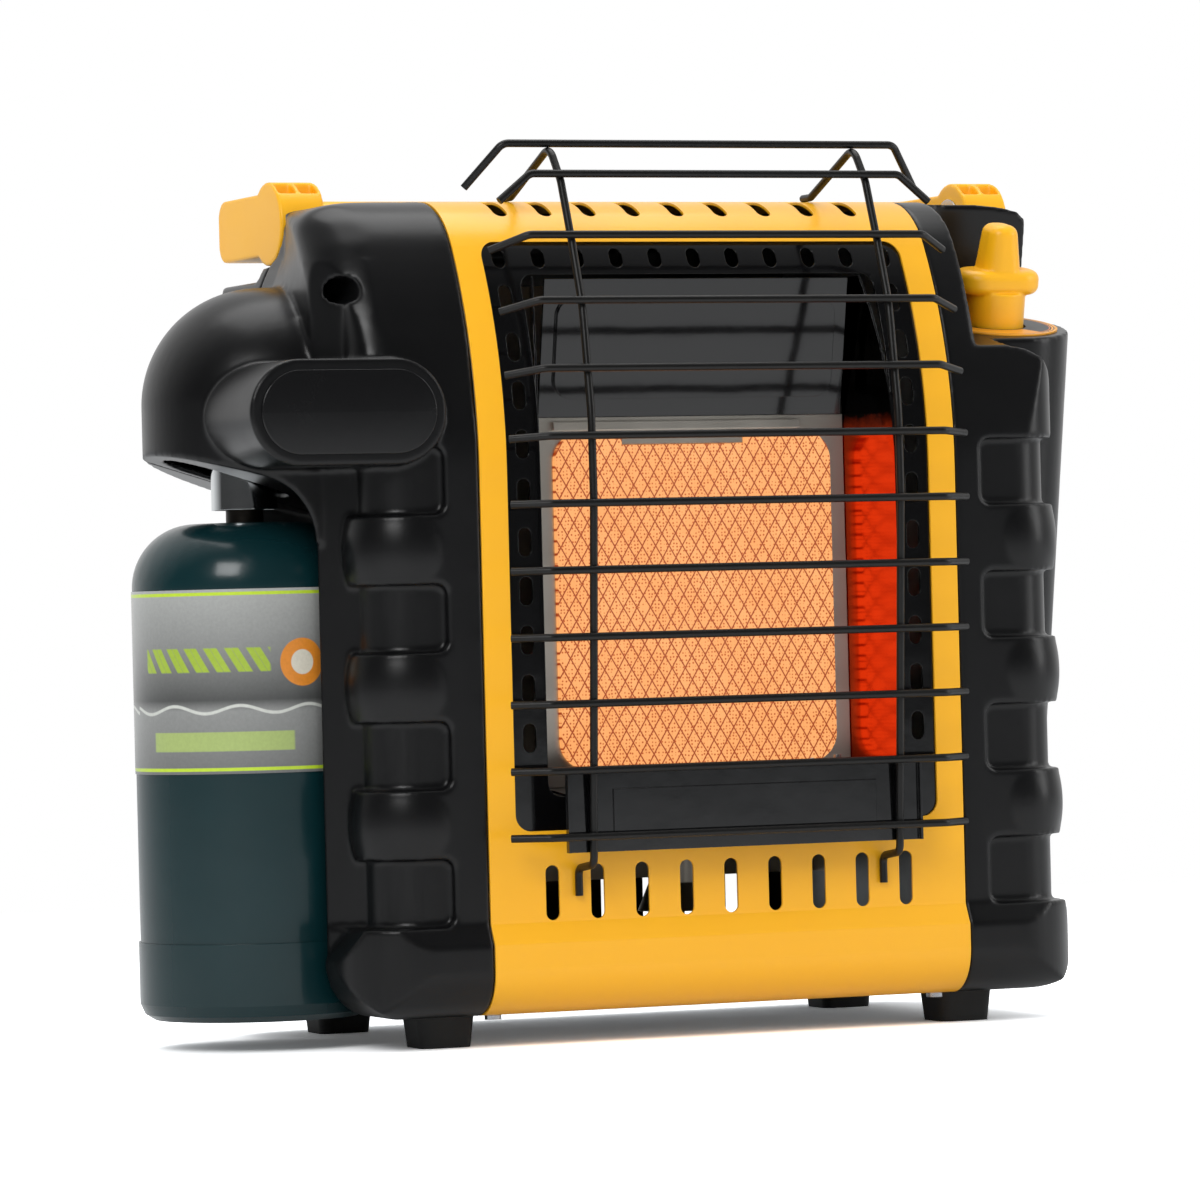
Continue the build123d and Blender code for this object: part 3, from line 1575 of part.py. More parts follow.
def before_rods(z):
    """Y and Z of a bar that lies against the front of the rods, at a height."""
    front = rod_path[2:9]
    for (low_y, low_z), (high_y, high_z) in zip(front, front[1:]):
        if low_z <= z <= high_z:
            length = hypot(high_y - low_y, high_z - low_z)
            y = low_y + (high_y - low_y) * (z - low_z) / (high_z - low_z)
            return y - wire * (high_z - low_z) / length, z + wire * (high_y - low_y) / length
    raise ValueError("height beside the rods")


def rod_apex():
    """Y and Z of the highest point of the rods' axis, on the bend at their top."""
    corner = rod_path[8]
    rise = atan2(corner[1] - rod_path[7][1], corner[0] - rod_path[7][0])
    fall = atan2(rod_path[9][1] - corner[1], rod_path[9][0] - corner[0])
    half_turn = (rise - fall) / 2
    bend = rod_bends[7]
    reach = bend * sin(half_turn) / cos(half_turn)
    start = (corner[0] - reach * cos(rise), corner[1] - reach * sin(rise))
    return start[0] + bend * sin(rise), start[1] - bend * cos(rise) + bend


def cross_bar(y, z, back, down, narrow=0.0):
    """Bar across the front whose two ends bend back and down."""
    bend_x = guard_bend_half_width - narrow
    end_x = guard_half_width - narrow
    points = [
        (-end_x, y + back, z - down),
        (-bend_x, y, z),
        (bend_x, y, z),
        (end_x, y + back, z - down),
    ]
    return bent_wire(points, wire_radius, guard_bend_radius)


bars = []
for index in range(guard_bar_count):
    bar_z = guard_bar_top_z - index * guard_bar_pitch
    droop = max(0.0, (bar_z - front_arc_start_z) / (guard_bar_top_z - front_arc_start_z)) * 6.0
    bars.append(cross_bar(*before_rods(bar_z), 10.0, droop))
keep("guard_bars", one(bars))

rack_bar_front = cross_bar(*before_rods(rack_bar_z), 0.5, 11.5, 5.5)
apex_y, apex_z = rod_apex()
rack_bar_top = cross_bar(apex_y, apex_z + wire, 10.0, 18.0)
keep("rack_bars", one([rack_bar_front, rack_bar_top]))

plate_half_width = 81.0
plate_low_z = 81.0
plate_high_z = 114.0
plate_front_gap = 0.1


def guard_plate():
    """Black plate behind the lowest bars, with folded ends and a plain pressed field."""
    front = before_rods(plate_high_z)[0] + wire + wire_radius + plate_front_gap + 2.2
    plate = block(-plate_half_width, plate_half_width, front, front + thin_sheet, plate_low_z, plate_high_z)
    ends = block(plate_half_width - thin_sheet, plate_half_width, front - 2, front, plate_low_z, plate_high_z)
    field = block(-60, 60, front - 0.8, front, plate_low_z + 7, plate_high_z - 7)
    return plate + ends + mirrored(ends) + field


keep("guard_plate", guard_plate())

# ------------------------------------------------------------ carrying handle
hub_wall_left_x = handle_left_x + handle_arm_thickness
hub_wall_right_x = handle_right_x - handle_arm_thickness


def handle_arm(x_from, x_to):
    """Hub and arm at one end of the handle, with two recesses side by side in the upper front of the hub."""
    view = Location((handle_pivot_y, handle_pivot_z, 0)) * Circle(handle_hub_radius)
    view += view_box(handle_pivot_y, grip_y, grip_z - grip_height / 2, grip_z + grip_height / 2)
    arm = across(view, x_from, x_to)
    middle = (x_from + x_to) / 2
    for x in (middle - 4.9, middle + 4.9):
        arm -= block(
            x - 3.9,
            x + 3.9,
            handle_pivot_y - 12.5,
            handle_pivot_y - 4,
            handle_pivot_z + 6,
            handle_pivot_z + 30,
        )
    return arm


def handle():
    """Carrying handle: two hubs, two arms and the grip bar."""
    section = rounded_box(
        grip_y - grip_depth / 2,
        grip_y + grip_depth / 2,
        grip_z - grip_height / 2,
        grip_z + grip_height / 2,
        8,
    )
    body = across(section, handle_left_x, handle_right_x)
    body += handle_arm(handle_left_x, hub_wall_left_x) + handle_arm(hub_wall_right_x, handle_right_x)
    body -= along_pivot(
        handle_left_x + hub_cap_thickness, handle_right_x - hub_cap_thickness, handle_pin_radius + running_gap
    )
    return body


hub_cap_thickness = 4.0  # closed outer wall of a hub, which hides the pin
pin_end_gap = 0.4
pin_reach = 10.0  # into the housing


def along_pivot(x_from, x_to, radius):
    """Round bar on the handle's pivot axis."""
    return rod((x_from, handle_pivot_y, handle_pivot_z), (x_to, handle_pivot_y, handle_pivot_z), radius)


keep("carrying_handle", handle())
left_pin_span = (handle_left_x + hub_cap_thickness + pin_end_gap, hub_wall_left_x + pin_reach)
right_pin_span = (hub_wall_right_x - pin_reach, handle_right_x - hub_cap_thickness - pin_end_gap)
pins = [along_pivot(*left_pin_span, handle_pin_radius), along_pivot(*right_pin_span, handle_pin_radius)]
keep("handle_pins", one(pins))
pin_bore_reach = 20.0
pieces["left_rear_housing"] -= along_pivot(
    hub_wall_left_x - 5, hub_wall_left_x + pin_bore_reach, handle_pin_radius
)
pieces["right_rear_housing"] -= along_pivot(
    hub_wall_right_x - pin_bore_reach, hub_wall_right_x + 5, handle_pin_radius
)
washer_thickness = notch_gap - 0.2
left_washer = ring(
    (hub_wall_left_x + 0.1, handle_pivot_y, handle_pivot_z),
    (hub_wall_left_x + 0.1 + washer_thickness, handle_pivot_y, handle_pivot_z),
    11.0,
    handle_pin_radius + seat_gap,
)
right_washer = ring(
    (hub_wall_right_x - 0.1 - washer_thickness, handle_pivot_y, handle_pivot_z),
    (hub_wall_right_x - 0.1, handle_pivot_y, handle_pivot_z),
    11.0,
    handle_pin_radius + seat_gap,
)
keep("handle_washers", one([left_washer, right_washer]))

# ------------------------------------------------------------ feet and screws
foot_x = foot_inner_x + foot_width / 2


def foot(side_x, side_y):
    """Rubber foot: slightly tapered block with a round outer corner and a screw well."""
    base = Location((side_x * foot_x, side_y * foot_half_spacing_y, 0))
    top = Plane.XY.offset(floor_gap) * (base * RectangleRounded(foot_width, foot_depth, 5))
    bottom = base * RectangleRounded(foot_width - 3, foot_depth - 3, 4)
    body = loft([bottom, top])
    centre = (side_x * foot_x, side_y * foot_half_spacing_y)
    body -= rod((*centre, 0), (*centre, 6), 5.2)
    return body - rod((*centre, 0), (*centre, floor_gap), 2.2)


def foot_screw(side_x, side_y):
    """Pan-head screw up through a foot into the housing floor."""
    centre = (side_x * foot_x, side_y * foot_half_spacing_y)
    return rod((*centre, 3), (*centre, 6), 4.4) + rod((*centre, 6), (*centre, floor_gap + 7), 2.1)


corners = [(-1, -1), (1, -1), (-1, 1), (1, 1)]
keep("feet", one([foot(x, y) for x, y in corners]))
keep("foot_screws", one([foot_screw(x, y) for x, y in corners]))
for name, side_x, side_y in (
    ("left_front_housing", -1, -1),
    ("right_front_housing", 1, -1),
    ("left_rear_housing", -1, 1),
    ("right_rear_housing", 1, 1),
):
    centre = (side_x * foot_x, side_y * foot_half_spacing_y)
    pieces[name] += rod((*centre, floor_gap), (*centre, floor_gap + 9), 5.0)
    pieces[name] -= rod((*centre, floor_gap - 1), (*centre, floor_gap + 7.5), 2.15)


def housing_screw(place, head_y, direction):
    """Screw along Y in a counterbored post; it runs towards the split."""
    tip = head_y + direction * screw_reach
    head_end = head_y - direction * 3
    head = post(place, min(head_y, head_end), max(head_y, head_end), screw_head_radius)
    return head + post(place, min(head_y, tip), max(head_y, tip), screw_radius)


keep(
    "housing_screws",
    one(
        [
            housing_screw(left_upper_post, front_bore_end_y, 1),
            housing_screw(left_lower_post, rear_bore_start_y, -1),
            housing_screw(right_upper_post, rear_bore_start_y, -1),
            housing_screw(right_lower_post, rear_bore_start_y, -1),
        ]
    ),
)

panel_screw_x = panel_half - 7.0
panel_screws = []
for x in (-panel_screw_x, 0.0, panel_screw_x):
    for z in (28.0, 150.0, 280.0):
        panel_screws.append(rod((x, back_y, z), (x, back_y + 2.0, z), 3.5))
for x in (-panel_screw_x, panel_screw_x):
    for y, seat_z in ((-78.0, floor_gap), (76.0, pan_bottom_z)):
        panel_screws.append(rod((x, y, seat_z - 2.0), (x, y, seat_z), 3.5))
keep("panel_screws", one(panel_screws))

# ------------------------------------------------------------ files
for name, shape in pieces.items():
    shape.label = name
    export_step(shape, f"parts/{name}.step")
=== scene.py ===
"""Looks of a portable propane heater: painted sheet steel, moulded shells and a glowing ceramic burner."""

import json
import logging
import math
from dataclasses import dataclass, field
from enum import Enum
from typing import Callable, Sequence

import bpy
from mathutils import Matrix, Vector


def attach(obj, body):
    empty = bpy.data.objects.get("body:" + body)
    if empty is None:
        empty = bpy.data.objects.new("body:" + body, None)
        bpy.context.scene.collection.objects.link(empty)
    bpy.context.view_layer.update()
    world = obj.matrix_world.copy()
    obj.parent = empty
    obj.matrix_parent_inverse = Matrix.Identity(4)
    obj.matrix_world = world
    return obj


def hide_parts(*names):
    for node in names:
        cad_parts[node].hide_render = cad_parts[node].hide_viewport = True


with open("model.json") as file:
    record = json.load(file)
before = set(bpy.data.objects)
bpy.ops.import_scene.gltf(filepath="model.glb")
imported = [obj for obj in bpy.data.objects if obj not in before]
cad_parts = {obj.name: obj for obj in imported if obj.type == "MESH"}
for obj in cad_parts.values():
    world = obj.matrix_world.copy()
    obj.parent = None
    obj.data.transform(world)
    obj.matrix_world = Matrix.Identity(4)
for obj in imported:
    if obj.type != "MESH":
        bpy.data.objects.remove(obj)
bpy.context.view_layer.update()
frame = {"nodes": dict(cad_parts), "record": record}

MM = 0.001
LOG = logging.getLogger("heater")

WELD = 2e-6  # points of a copied mesh nearer than this become one
BEVEL_WELD = 1e-6  # and those of a bevelled edge
TOUCH = 1e-5  # places nearer than this count as the same
HALF_WAY = 0.5  # how far each smoothing pass moves a point toward its neighbours
NOISE_ROUGHNESS = 0.55  # how much of a noise's finer lumps shows
SOFT_DETAIL = 3.0  # finer noises added to a soft cloud
RICH_DETAIL = 4.0  # and to a lively one
PATCH_SHARE = 0.4  # size of the gloss patches against that of the colour drift
EDGE_SAMPLES = 6
WHITE = "#ffffff"
FROM_MIN, FROM_MAX, TO_MIN, TO_MAX = 1, 2, 3, 4  # sockets of a map range node
MIX_A, MIX_B, MIX_OUT = 6, 7, 2  # colour sockets of a mix node

Colour = tuple[float, float, float, float]
Point = tuple[float, float, float]
Span = tuple[float, float]
Tree = bpy.types.NodeTree
Socket = bpy.types.NodeSocket
Piece = bpy.types.Object


def linear(code: str) -> Colour:
    """Turn an sRGB hex colour into linear values.

    Args:
        code: Six hex digits with a leading #.

    Returns:
        Linear red, green and blue with an alpha of 1.
    """
    parts = [int(code[i : i + 2], 16) / 255 for i in (1, 3, 5)]
    lin = [c / 12.92 if c <= 0.04045 else ((c + 0.055) / 1.055) ** 2.4 for c in parts]
    return (lin[0], lin[1], lin[2], 1.0)


def add(tree: Tree, kind: str, inputs: dict | None = None, **settings) -> bpy.types.Node:
    """Add a shader node with its settings and links.

    Args:
        tree: Node tree that gets the node.
        kind: Blender's name of the node type.
        inputs: Socket name or number, with a value or the output socket to link.
        settings: Properties of the node itself.

    Returns:
        The new node.
    """
    node = tree.nodes.new(kind)
    for name, value in settings.items():
        setattr(node, name, value)
    for socket, value in (inputs or {}).items():
        if isinstance(value, Socket):
            tree.links.new(value, node.inputs[socket])
        else:
            node.inputs[socket].default_value = value
    return node


def ramp(node: bpy.types.Node, stops: Sequence[tuple[float, str]]) -> None:
    """Set the stops of a colour ramp.

    Args:
        node: Colour ramp node.
        stops: Position and sRGB hex colour of every stop.
    """
    band = node.color_ramp
    while len(band.elements) < len(stops):
        band.elements.new(0.5)
    for element, (place, code) in zip(band.elements, stops):
        element.position = place
        element.color = linear(code)


# ------------ finishes
@dataclass(frozen=True)
class Finish:
    """A material with a fine grain, a slow ripple and a slight drift of colour, all in millimetres.

    The grain is what the surface feels like, the ripple is what bends a reflection, and the drift
    keeps a large face from looking like one flat colour.
    """

    name: str
    colour: str
    drift: str
    roughness: float
    swing: float = 0.06
    metallic: float = 0.0
    ior: float = 1.5
    coat: float = 0.0
    coat_roughness: float = 0.08
    grain_mm: float = 0.8
    grain_depth_mm: float = 0.02
    ripple_mm: float = 14.0
    ripple_depth_mm: float = 0.03
    drift_mm: float = 45.0
    edge_mm: float = 0.4
    stretch: Point = (1.0, 1.0, 1.0)

    def start(self) -> tuple[bpy.types.Material, Tree]:
        """Make the empty material and return it with its node tree."""
        made = bpy.data.materials.new(self.name)
        made.use_nodes = True
        made.node_tree.nodes.clear()
        return made, made.node_tree

    def noise(self, tree: Tree, place: Socket, size_mm: float, detail: float = 2.0) -> Socket:
        """Noise whose lumps are about a size in millimetres.

        Args:
            tree: Node tree.
            place: Coordinates.
            size_mm: Size of the largest lumps.
            detail: How many finer noises are added.

        Returns:
            The output socket, from 0 to 1.
        """
        scale = 1.0 / (size_mm * MM)
        inputs = {"Vector": place, "Scale": scale, "Detail": detail, "Roughness": NOISE_ROUGHNESS}
        return add(tree, "ShaderNodeTexNoise", inputs).outputs["Fac"]

    def band(self, tree: Tree, value: Socket, low: float, high: float, soft: float) -> Socket:
        """A value that is 1 between two limits and 0 outside them.

        Args:
            tree: Node tree.
            value: What is compared.
            low: Lower limit.
            high: Upper limit.
            soft: Half the width of the fade at each limit.

        Returns:
            The output socket.
        """
        middle = (low + high) / 2
        off = add(tree, "ShaderNodeMath", {0: value, 1: middle}, operation="SUBTRACT").outputs[0]
        size = add(tree, "ShaderNodeMath", {0: off}, operation="ABSOLUTE").outputs[0]
        half = (high - low) / 2
        inputs = {"Value": size, FROM_MIN: half - soft, FROM_MAX: half + soft, TO_MIN: 1.0, TO_MAX: 0.0}
        return add(tree, "ShaderNodeMapRange", inputs).outputs[0]

    def base(self, tree: Tree, place: Socket) -> Socket:
        """Colour all over, drifting a little from place to place.

        Args:
            tree: Node tree.
            place: Coordinates.

        Returns:
            The colour.
        """
        cloud = self.noise(tree, place, self.drift_mm, SOFT_DETAIL)
        inputs = {0: cloud, MIX_A: linear(self.colour), MIX_B: linear(self.drift)}
        return add(tree, "ShaderNodeMix", inputs, data_type="RGBA").outputs[MIX_OUT]

    def relief(self, tree: Tree, place: Socket) -> Socket:
        """Normal rounded over the edges, with the ripple and then the grain on top of it.

        Args:
            tree: Node tree.
            place: Coordinates.

        Returns:
            The normal.
        """
        slow = self.noise(tree, place, self.ripple_mm)
        inputs = {"Height": slow, "Distance": self.ripple_depth_mm * MM, "Strength": 1.0}
        if self.edge_mm:
            rounded = add(tree, "ShaderNodeBevel", {"Radius": self.edge_mm * MM}, samples=EDGE_SAMPLES)
            inputs["Normal"] = rounded.outputs[0]
        bent = add(tree, "ShaderNodeBump", inputs).outputs[0]
        fine = self.noise(tree, place, self.grain_mm)
        inputs = {"Height": fine, "Distance": self.grain_depth_mm * MM, "Strength": 1.0, "Normal": bent}
        return add(tree, "ShaderNodeBump", inputs).outputs[0]

    def gloss(self, tree: Tree, place: Socket) -> Socket:
        """Roughness that wanders about its mean, as handled and sprayed surfaces do.

        Args:
            tree: Node tree.
            place: Coordinates.

        Returns:
            The roughness.
        """
        patches = self.noise(tree, place, self.drift_mm * PATCH_SHARE, RICH_DETAIL)
        inputs = {"Value": patches, TO_MIN: self.roughness - self.swing, TO_MAX: self.roughness + self.swing}
        return add(tree, "ShaderNodeMapRange", inputs).outputs[0]

    def place(self, tree: Tree) -> Socket:
        """Object coordinates, stretched along the direction in which the surface was worked."""
        seat = add(tree, "ShaderNodeTexCoord").outputs["Object"]
        return add(tree, "ShaderNodeMapping", {"Vector": seat, "Scale": self.stretch}).outputs[0]

    def shader(self, tree: Tree, place: Socket, colour: Socket) -> bpy.types.Node:
        """Principled shader with this finish's constants.

        Args:
            tree: Node tree.
            place: Coordinates.
            colour: Its base colour.

        Returns:
            The shader node.
        """
        inputs = {
            "Base Color": colour,
            "Roughness": self.gloss(tree, place),
            "Normal": self.relief(tree, place),
            "Metallic": self.metallic,
            "IOR": self.ior,
            "Coat Weight": self.coat,
            "Coat Roughness": self.coat_roughness,
        }
        return add(tree, "ShaderNodeBsdfPrincipled", inputs)

    def finish(self, tree: Tree, shader: bpy.types.Node) -> None:
        """Send the shader to the output."""
        add(tree, "ShaderNodeOutputMaterial", {"Surface": shader.outputs[0]})

    def build(self) -> bpy.types.Material:
        """Make the material.

        Returns:
            The finished material.
        """
        made, tree = self.start()
        place = self.place(tree)
        self.finish(tree, self.shader(tree, place, self.base(tree, place)))
        return made


@dataclass(frozen=True)
class FireReflectionTint(Finish):
    """Mirror-smooth enamel, tinted red level with the fire as a painted reflection of it, and black above
    and below it.

    The heights and the reach of the ragged edge are in metres.
    """

    plain_black: str = "#0a0807"
    low: float = 0.110
    high: float = 0.258
    soft: float = 0.004
    ragged_mm: float = 4.0
    ragged_reach: float = 0.004

    def base(self, tree: Tree, place: Socket) -> Socket:
        """Painted reflection of the fire: a red tint between two heights, broken up a little along its
        edges.

        Args:
            tree: Node tree.
            place: Coordinates.

        Returns:
            The colour.
        """
        tint = super().base(tree, place)
        height = add(tree, "ShaderNodeSeparateXYZ", {0: place}).outputs[2]
        ragged = self.noise(tree, place, self.ragged_mm, SOFT_DETAIL)
        inputs = {"Value": ragged, TO_MIN: -self.ragged_reach, TO_MAX: self.ragged_reach}
        shift = add(tree, "ShaderNodeMapRange", inputs).outputs[0]
        edge = add(tree, "ShaderNodeMath", {0: height, 1: shift}, operation="ADD").outputs[0]
        # painted reflection: the fire's red laid on the wall between the tile's heights
        hot = self.band(tree, edge, self.low, self.high, self.soft)
        inputs = {0: hot, MIX_A: linear(self.plain_black), MIX_B: tint}
        return add(tree, "ShaderNodeMix", inputs, data_type="RGBA").outputs[MIX_OUT]


@dataclass(frozen=True)
class GlowingCeramic(Finish):
    """Perforated cordierite tile at working heat: a pale glow, dark pin holes and a crossed groove pattern.

    The pin holes stand about 1.5 mm apart and the grooves cross in diamonds 6.2 mm wide and 10.4 mm
    tall. A groove is drawn a little wider than it is so that it shows. The holes' and grooves' fades
    are given as shares of their half widths.
    """

    cold: str = "#4a3428"
    groove: str = "#9c3a10"
    hole: str = "#c05a26"
    diamond_width_mm: float = 6.2
    diamond_height_mm: float = 10.4
    groove_mm: float = 0.62
    groove_fade: Span = (0.5, 1.5)
    hole_pitch_mm: float = 1.5
    hole_mm: float = 0.86
    hole_fade: Span = (0.6, 1.3)
    hole_scatter: float = 0.35
    wobble_mm: float = 9.0
    wobble_reach_mm: float = 0.25
    heat_mm: float = 16.0
    dent_mm: float = 0.4
    red_heat: float = 1.0
    strength: float = 1.0

    def lines(self, tree: Tree, across: Socket, up: Socket, sign: float) -> Socket:
        """One set of parallel grooves.

        Args:
            tree: Node tree.
            across: Place along the tile's width.
            up: Place along its height.
            sign: 1 or -1, for the way the grooves lean.

        Returns:
            An output socket that is 1 in a groove.
        """
        slope = sign * self.diamond_width_mm / self.diamond_height_mm
        lean = add(tree, "ShaderNodeMath", {0: up, 1: slope}, operation="MULTIPLY").outputs[0]
        along = add(tree, "ShaderNodeMath", {0: across, 1: lean}, operation="ADD").outputs[0]
        half_pitch = self.diamond_width_mm * MM / 2
        fold = add(tree, "ShaderNodeMath", {0: along, 1: half_pitch}, operation="PINGPONG").outputs[0]
        start, end = (share * self.groove_mm * MM / 2 for share in self.groove_fade)
        inputs = {"Value": fold, FROM_MIN: start, FROM_MAX: end, TO_MIN: 1.0, TO_MAX: 0.0}
        return add(tree, "ShaderNodeMapRange", inputs).outputs[0]

    def holes(self, tree: Tree, across: Socket, up: Socket) -> Socket:
        """Pin holes.

        Args:
            tree: Node tree.
            across: Place along the tile's width.
            up: Place along its height.

        Returns:
            An output socket that is 1 in a hole.
        """
        flat = add(tree, "ShaderNodeCombineXYZ", {0: across, 2: up}).outputs[0]
        scale = 1.0 / (self.hole_pitch_mm * MM)
        inputs = {"Vector": flat, "Scale": scale, "Randomness": self.hole_scatter}
        cells = add(tree, "ShaderNodeTexVoronoi", inputs).outputs["Distance"]
        start, end = (share * self.hole_mm / self.hole_pitch_mm / 2 for share in self.hole_fade)
        inputs = {"Value": cells, FROM_MIN: start, FROM_MAX: end, TO_MIN: 1.0, TO_MAX: 0.0}
        return add(tree, "ShaderNodeMapRange", inputs).outputs[0]

    def glow(self, tree: Tree, place: Socket) -> Socket:
        """Colour of the hot face, uneven as the flame behind it is, with its red a little over white.

        Args:
            tree: Node tree.
            place: Coordinates.

        Returns:
            The colour.
        """
        heat = self.noise(tree, place, self.heat_mm, RICH_DETAIL)
        inputs = {0: heat, MIX_A: linear(self.colour), MIX_B: linear(self.drift)}
        even = add(tree, "ShaderNodeMix", inputs, data_type="RGBA").outputs[MIX_OUT]
        inputs = {0: 1.0, MIX_A: even, MIX_B: (self.red_heat, 1.0, 1.0, 1.0)}
        ways = {"data_type": "RGBA", "blend_type": "MULTIPLY", "clamp_result": False}
        return add(tree, "ShaderNodeMix", inputs, **ways).outputs[MIX_OUT]

    def build(self) -> bpy.types.Material:
        """Make the glowing material.

        Returns:
            The finished material.
        """
        made, tree = self.start()
        seat = add(tree, "ShaderNodeTexCoord").outputs["Object"]
        wobble = self.noise(tree, seat, self.wobble_mm)
        reach = self.wobble_reach_mm * MM
        shift = add(tree, "ShaderNodeMapRange", {"Value": wobble, TO_MIN: -reach, TO_MAX: reach}).outputs[0]
        parts = add(tree, "ShaderNodeSeparateXYZ", {0: seat}).outputs
        across = add(tree, "ShaderNodeMath", {0: parts[0], 1: shift}, operation="ADD").outputs[0]
        up = parts[2]
        crossing = {0: self.lines(tree, across, up, 1.0), 1: self.lines(tree, across, up, -1.0)}
        grooves = add(tree, "ShaderNodeMath", crossing, operation="MAXIMUM").outputs[0]
        holes = self.holes(tree, across, up)
        colour = self.glow(tree, seat)
        for mask, ink in ((holes, self.hole), (grooves, self.groove)):
            inputs = {0: mask, MIX_A: colour, MIX_B: linear(ink)}
            colour = add(tree, "ShaderNodeMix", inputs, data_type="RGBA").outputs[MIX_OUT]
        depth = add(tree, "ShaderNodeMath", {0: holes, 1: grooves}, operation="MAXIMUM").outputs[0]
        inputs = {"Height": depth, "Distance": self.dent_mm * MM, "Strength": 1.0}
        dent = add(tree, "ShaderNodeBump", inputs, invert=True).outputs[0]
        inputs = {
            "Base Color": linear(self.cold),
            "Roughness": self.roughness,
            "Normal": dent,
            "Emission Color": colour,
            "Emission Strength": self.strength,
        }
        self.finish(tree, add(tree, "ShaderNodeBsdfPrincipled", inputs))
        return made


@dataclass(frozen=True)
class PrintedSleeve(Finish):
    """Gloss-varnished paper label round a cylinder: greys, thin green edge lines and plain generic shapes.

    Lengths are in metres and heights are from the label's lower edge. A reach is a pair of angles
    round the axis, in radians. The line margins are from an edge to the lower side of the line near it.
    """

    axis: Span = (0.0, 0.0)
    radius: float = 0.05
    low: float = 0.0
    high: float = 0.1
    greys: tuple[tuple[float, str], ...] = (
        (0.0, "#6d6e6c"), (0.34, "#8b8c8a"), (0.40, "#4a4b4a"), (0.62, "#7d7e7c"), (1.0, "#a6a7a4"),
    )
    soft: float = 0.0002
    bars: str = "#9fb83a"
    bar_row: Span = (0.0425, 0.0525)
    bar_reach: Span = (-2.95, -1.72)
    bar_half_pitch: float = 0.0046
    bar_gap: float = 0.0016
    bar_lean: float = 0.6
    bar_soft: float = 0.0003
    end_soft: float = 0.01
    wave: str = "#c9cbc4"
    wave_row: Span = (0.0262, 0.0275)
    wave_rate: float = 210.0
    wave_height: float = 0.0016
    strip: str = "#a3b56c"
    strip_row: Span = (0.0095, 0.0175)
    strip_reach: Span = (-2.85, -1.52)
    patch: str = "#e08a2c"
    core: str = "#d9d3c2"
    disc_turn: float = 1.43
    disc_height: float = 0.046
    disc_radius: float = 0.0100
    core_radius: float = 0.0052
    line: str = "#bcd832"
    line_width: float = 0.0014
    line_margins: Span = (0.0012, 0.0026)
    line_soft: float = 0.0001
    fibre_mm: float = 1.4
    fibre_span: Span = (0.3, 0.7)
    fibre_shade: Span = (0.94, 1.05)

    def bar_mask(self, tree: Tree, up: Socket, along: Socket, turn: Socket) -> Socket:
        """Row of plain leaning bars.

        Args:
            tree: Node tree.
            up: Height on the label.
            along: Length round the label.
            turn: Angle round the axis.

        Returns:
            An output socket that is 1 on a bar.
        """
        lean = add(tree, "ShaderNodeMath", {0: up, 1: self.bar_lean}, operation="MULTIPLY").outputs[0]
        slanted = add(tree, "ShaderNodeMath", {0: along, 1: lean}, operation="ADD").outputs[0]
        inputs = {0: slanted, 1: self.bar_half_pitch}
        repeat = add(tree, "ShaderNodeMath", inputs, operation="PINGPONG").outputs[0]
        bars = self.band(tree, repeat, self.bar_gap, self.bar_half_pitch, self.bar_soft)
        row = self.band(tree, up, *self.bar_row, self.bar_soft)
        reach = self.band(tree, turn, *self.bar_reach, self.end_soft)
        both = add(tree, "ShaderNodeMath", {0: row, 1: bars}, operation="MULTIPLY").outputs[0]
        return add(tree, "ShaderNodeMath", {0: both, 1: reach}, operation="MULTIPLY").outputs[0]

    def strip_mask(self, tree: Tree, up: Socket, turn: Socket) -> Socket:
        """Plain strip part of the way round the label.

        Args:
            tree: Node tree.
            up: Height on the label.
            turn: Angle round the axis.

        Returns:
            An output socket that is 1 on the strip.
        """
        row = self.band(tree, up, *self.strip_row, self.soft)
        reach = self.band(tree, turn, *self.strip_reach, self.end_soft)
        return add(tree, "ShaderNodeMath", {0: row, 1: reach}, operation="MULTIPLY").outputs[0]

    def disc_distance(self, tree: Tree, up: Socket, along: Socket) -> Socket:
        """Distance on the label from the middle of its disc.

        Args:
            tree: Node tree.
            up: Height on the label.
            along: Length round the label.

        Returns:
            The distance.
        """
        inputs = {0: up, 1: self.disc_height}
        over = add(tree, "ShaderNodeMath", inputs, operation="SUBTRACT").outputs[0]
        inputs = {0: along, 1: self.disc_turn * self.radius}
        beside = add(tree, "ShaderNodeMath", inputs, operation="ADD").outputs[0]
        spot = add(tree, "ShaderNodeCombineXYZ", {0: beside, 1: over}).outputs[0]
        return add(tree, "ShaderNodeVectorMath", {0: spot}, operation="LENGTH").outputs["Value"]

    def wave_mask(self, tree: Tree, up: Socket, along: Socket) -> Socket:
        """Thin wave line.

        Args:
            tree: Node tree.
            up: Height on the label.
            along: Length round the label.

        Returns:
            An output socket that is 1 on the line.
        """
        wave = add(tree, "ShaderNodeMath", {0: along, 1: self.wave_rate}, operation="MULTIPLY").outputs[0]
        wave = add(tree, "ShaderNodeMath", {0: wave}, operation="SINE").outputs[0]
        wave = add(tree, "ShaderNodeMath", {0: wave, 1: self.wave_height}, operation="MULTIPLY").outputs[0]
        ridge = add(tree, "ShaderNodeMath", {0: up, 1: wave}, operation="ADD").outputs[0]
        return self.band(tree, ridge, *self.wave_row, self.soft)

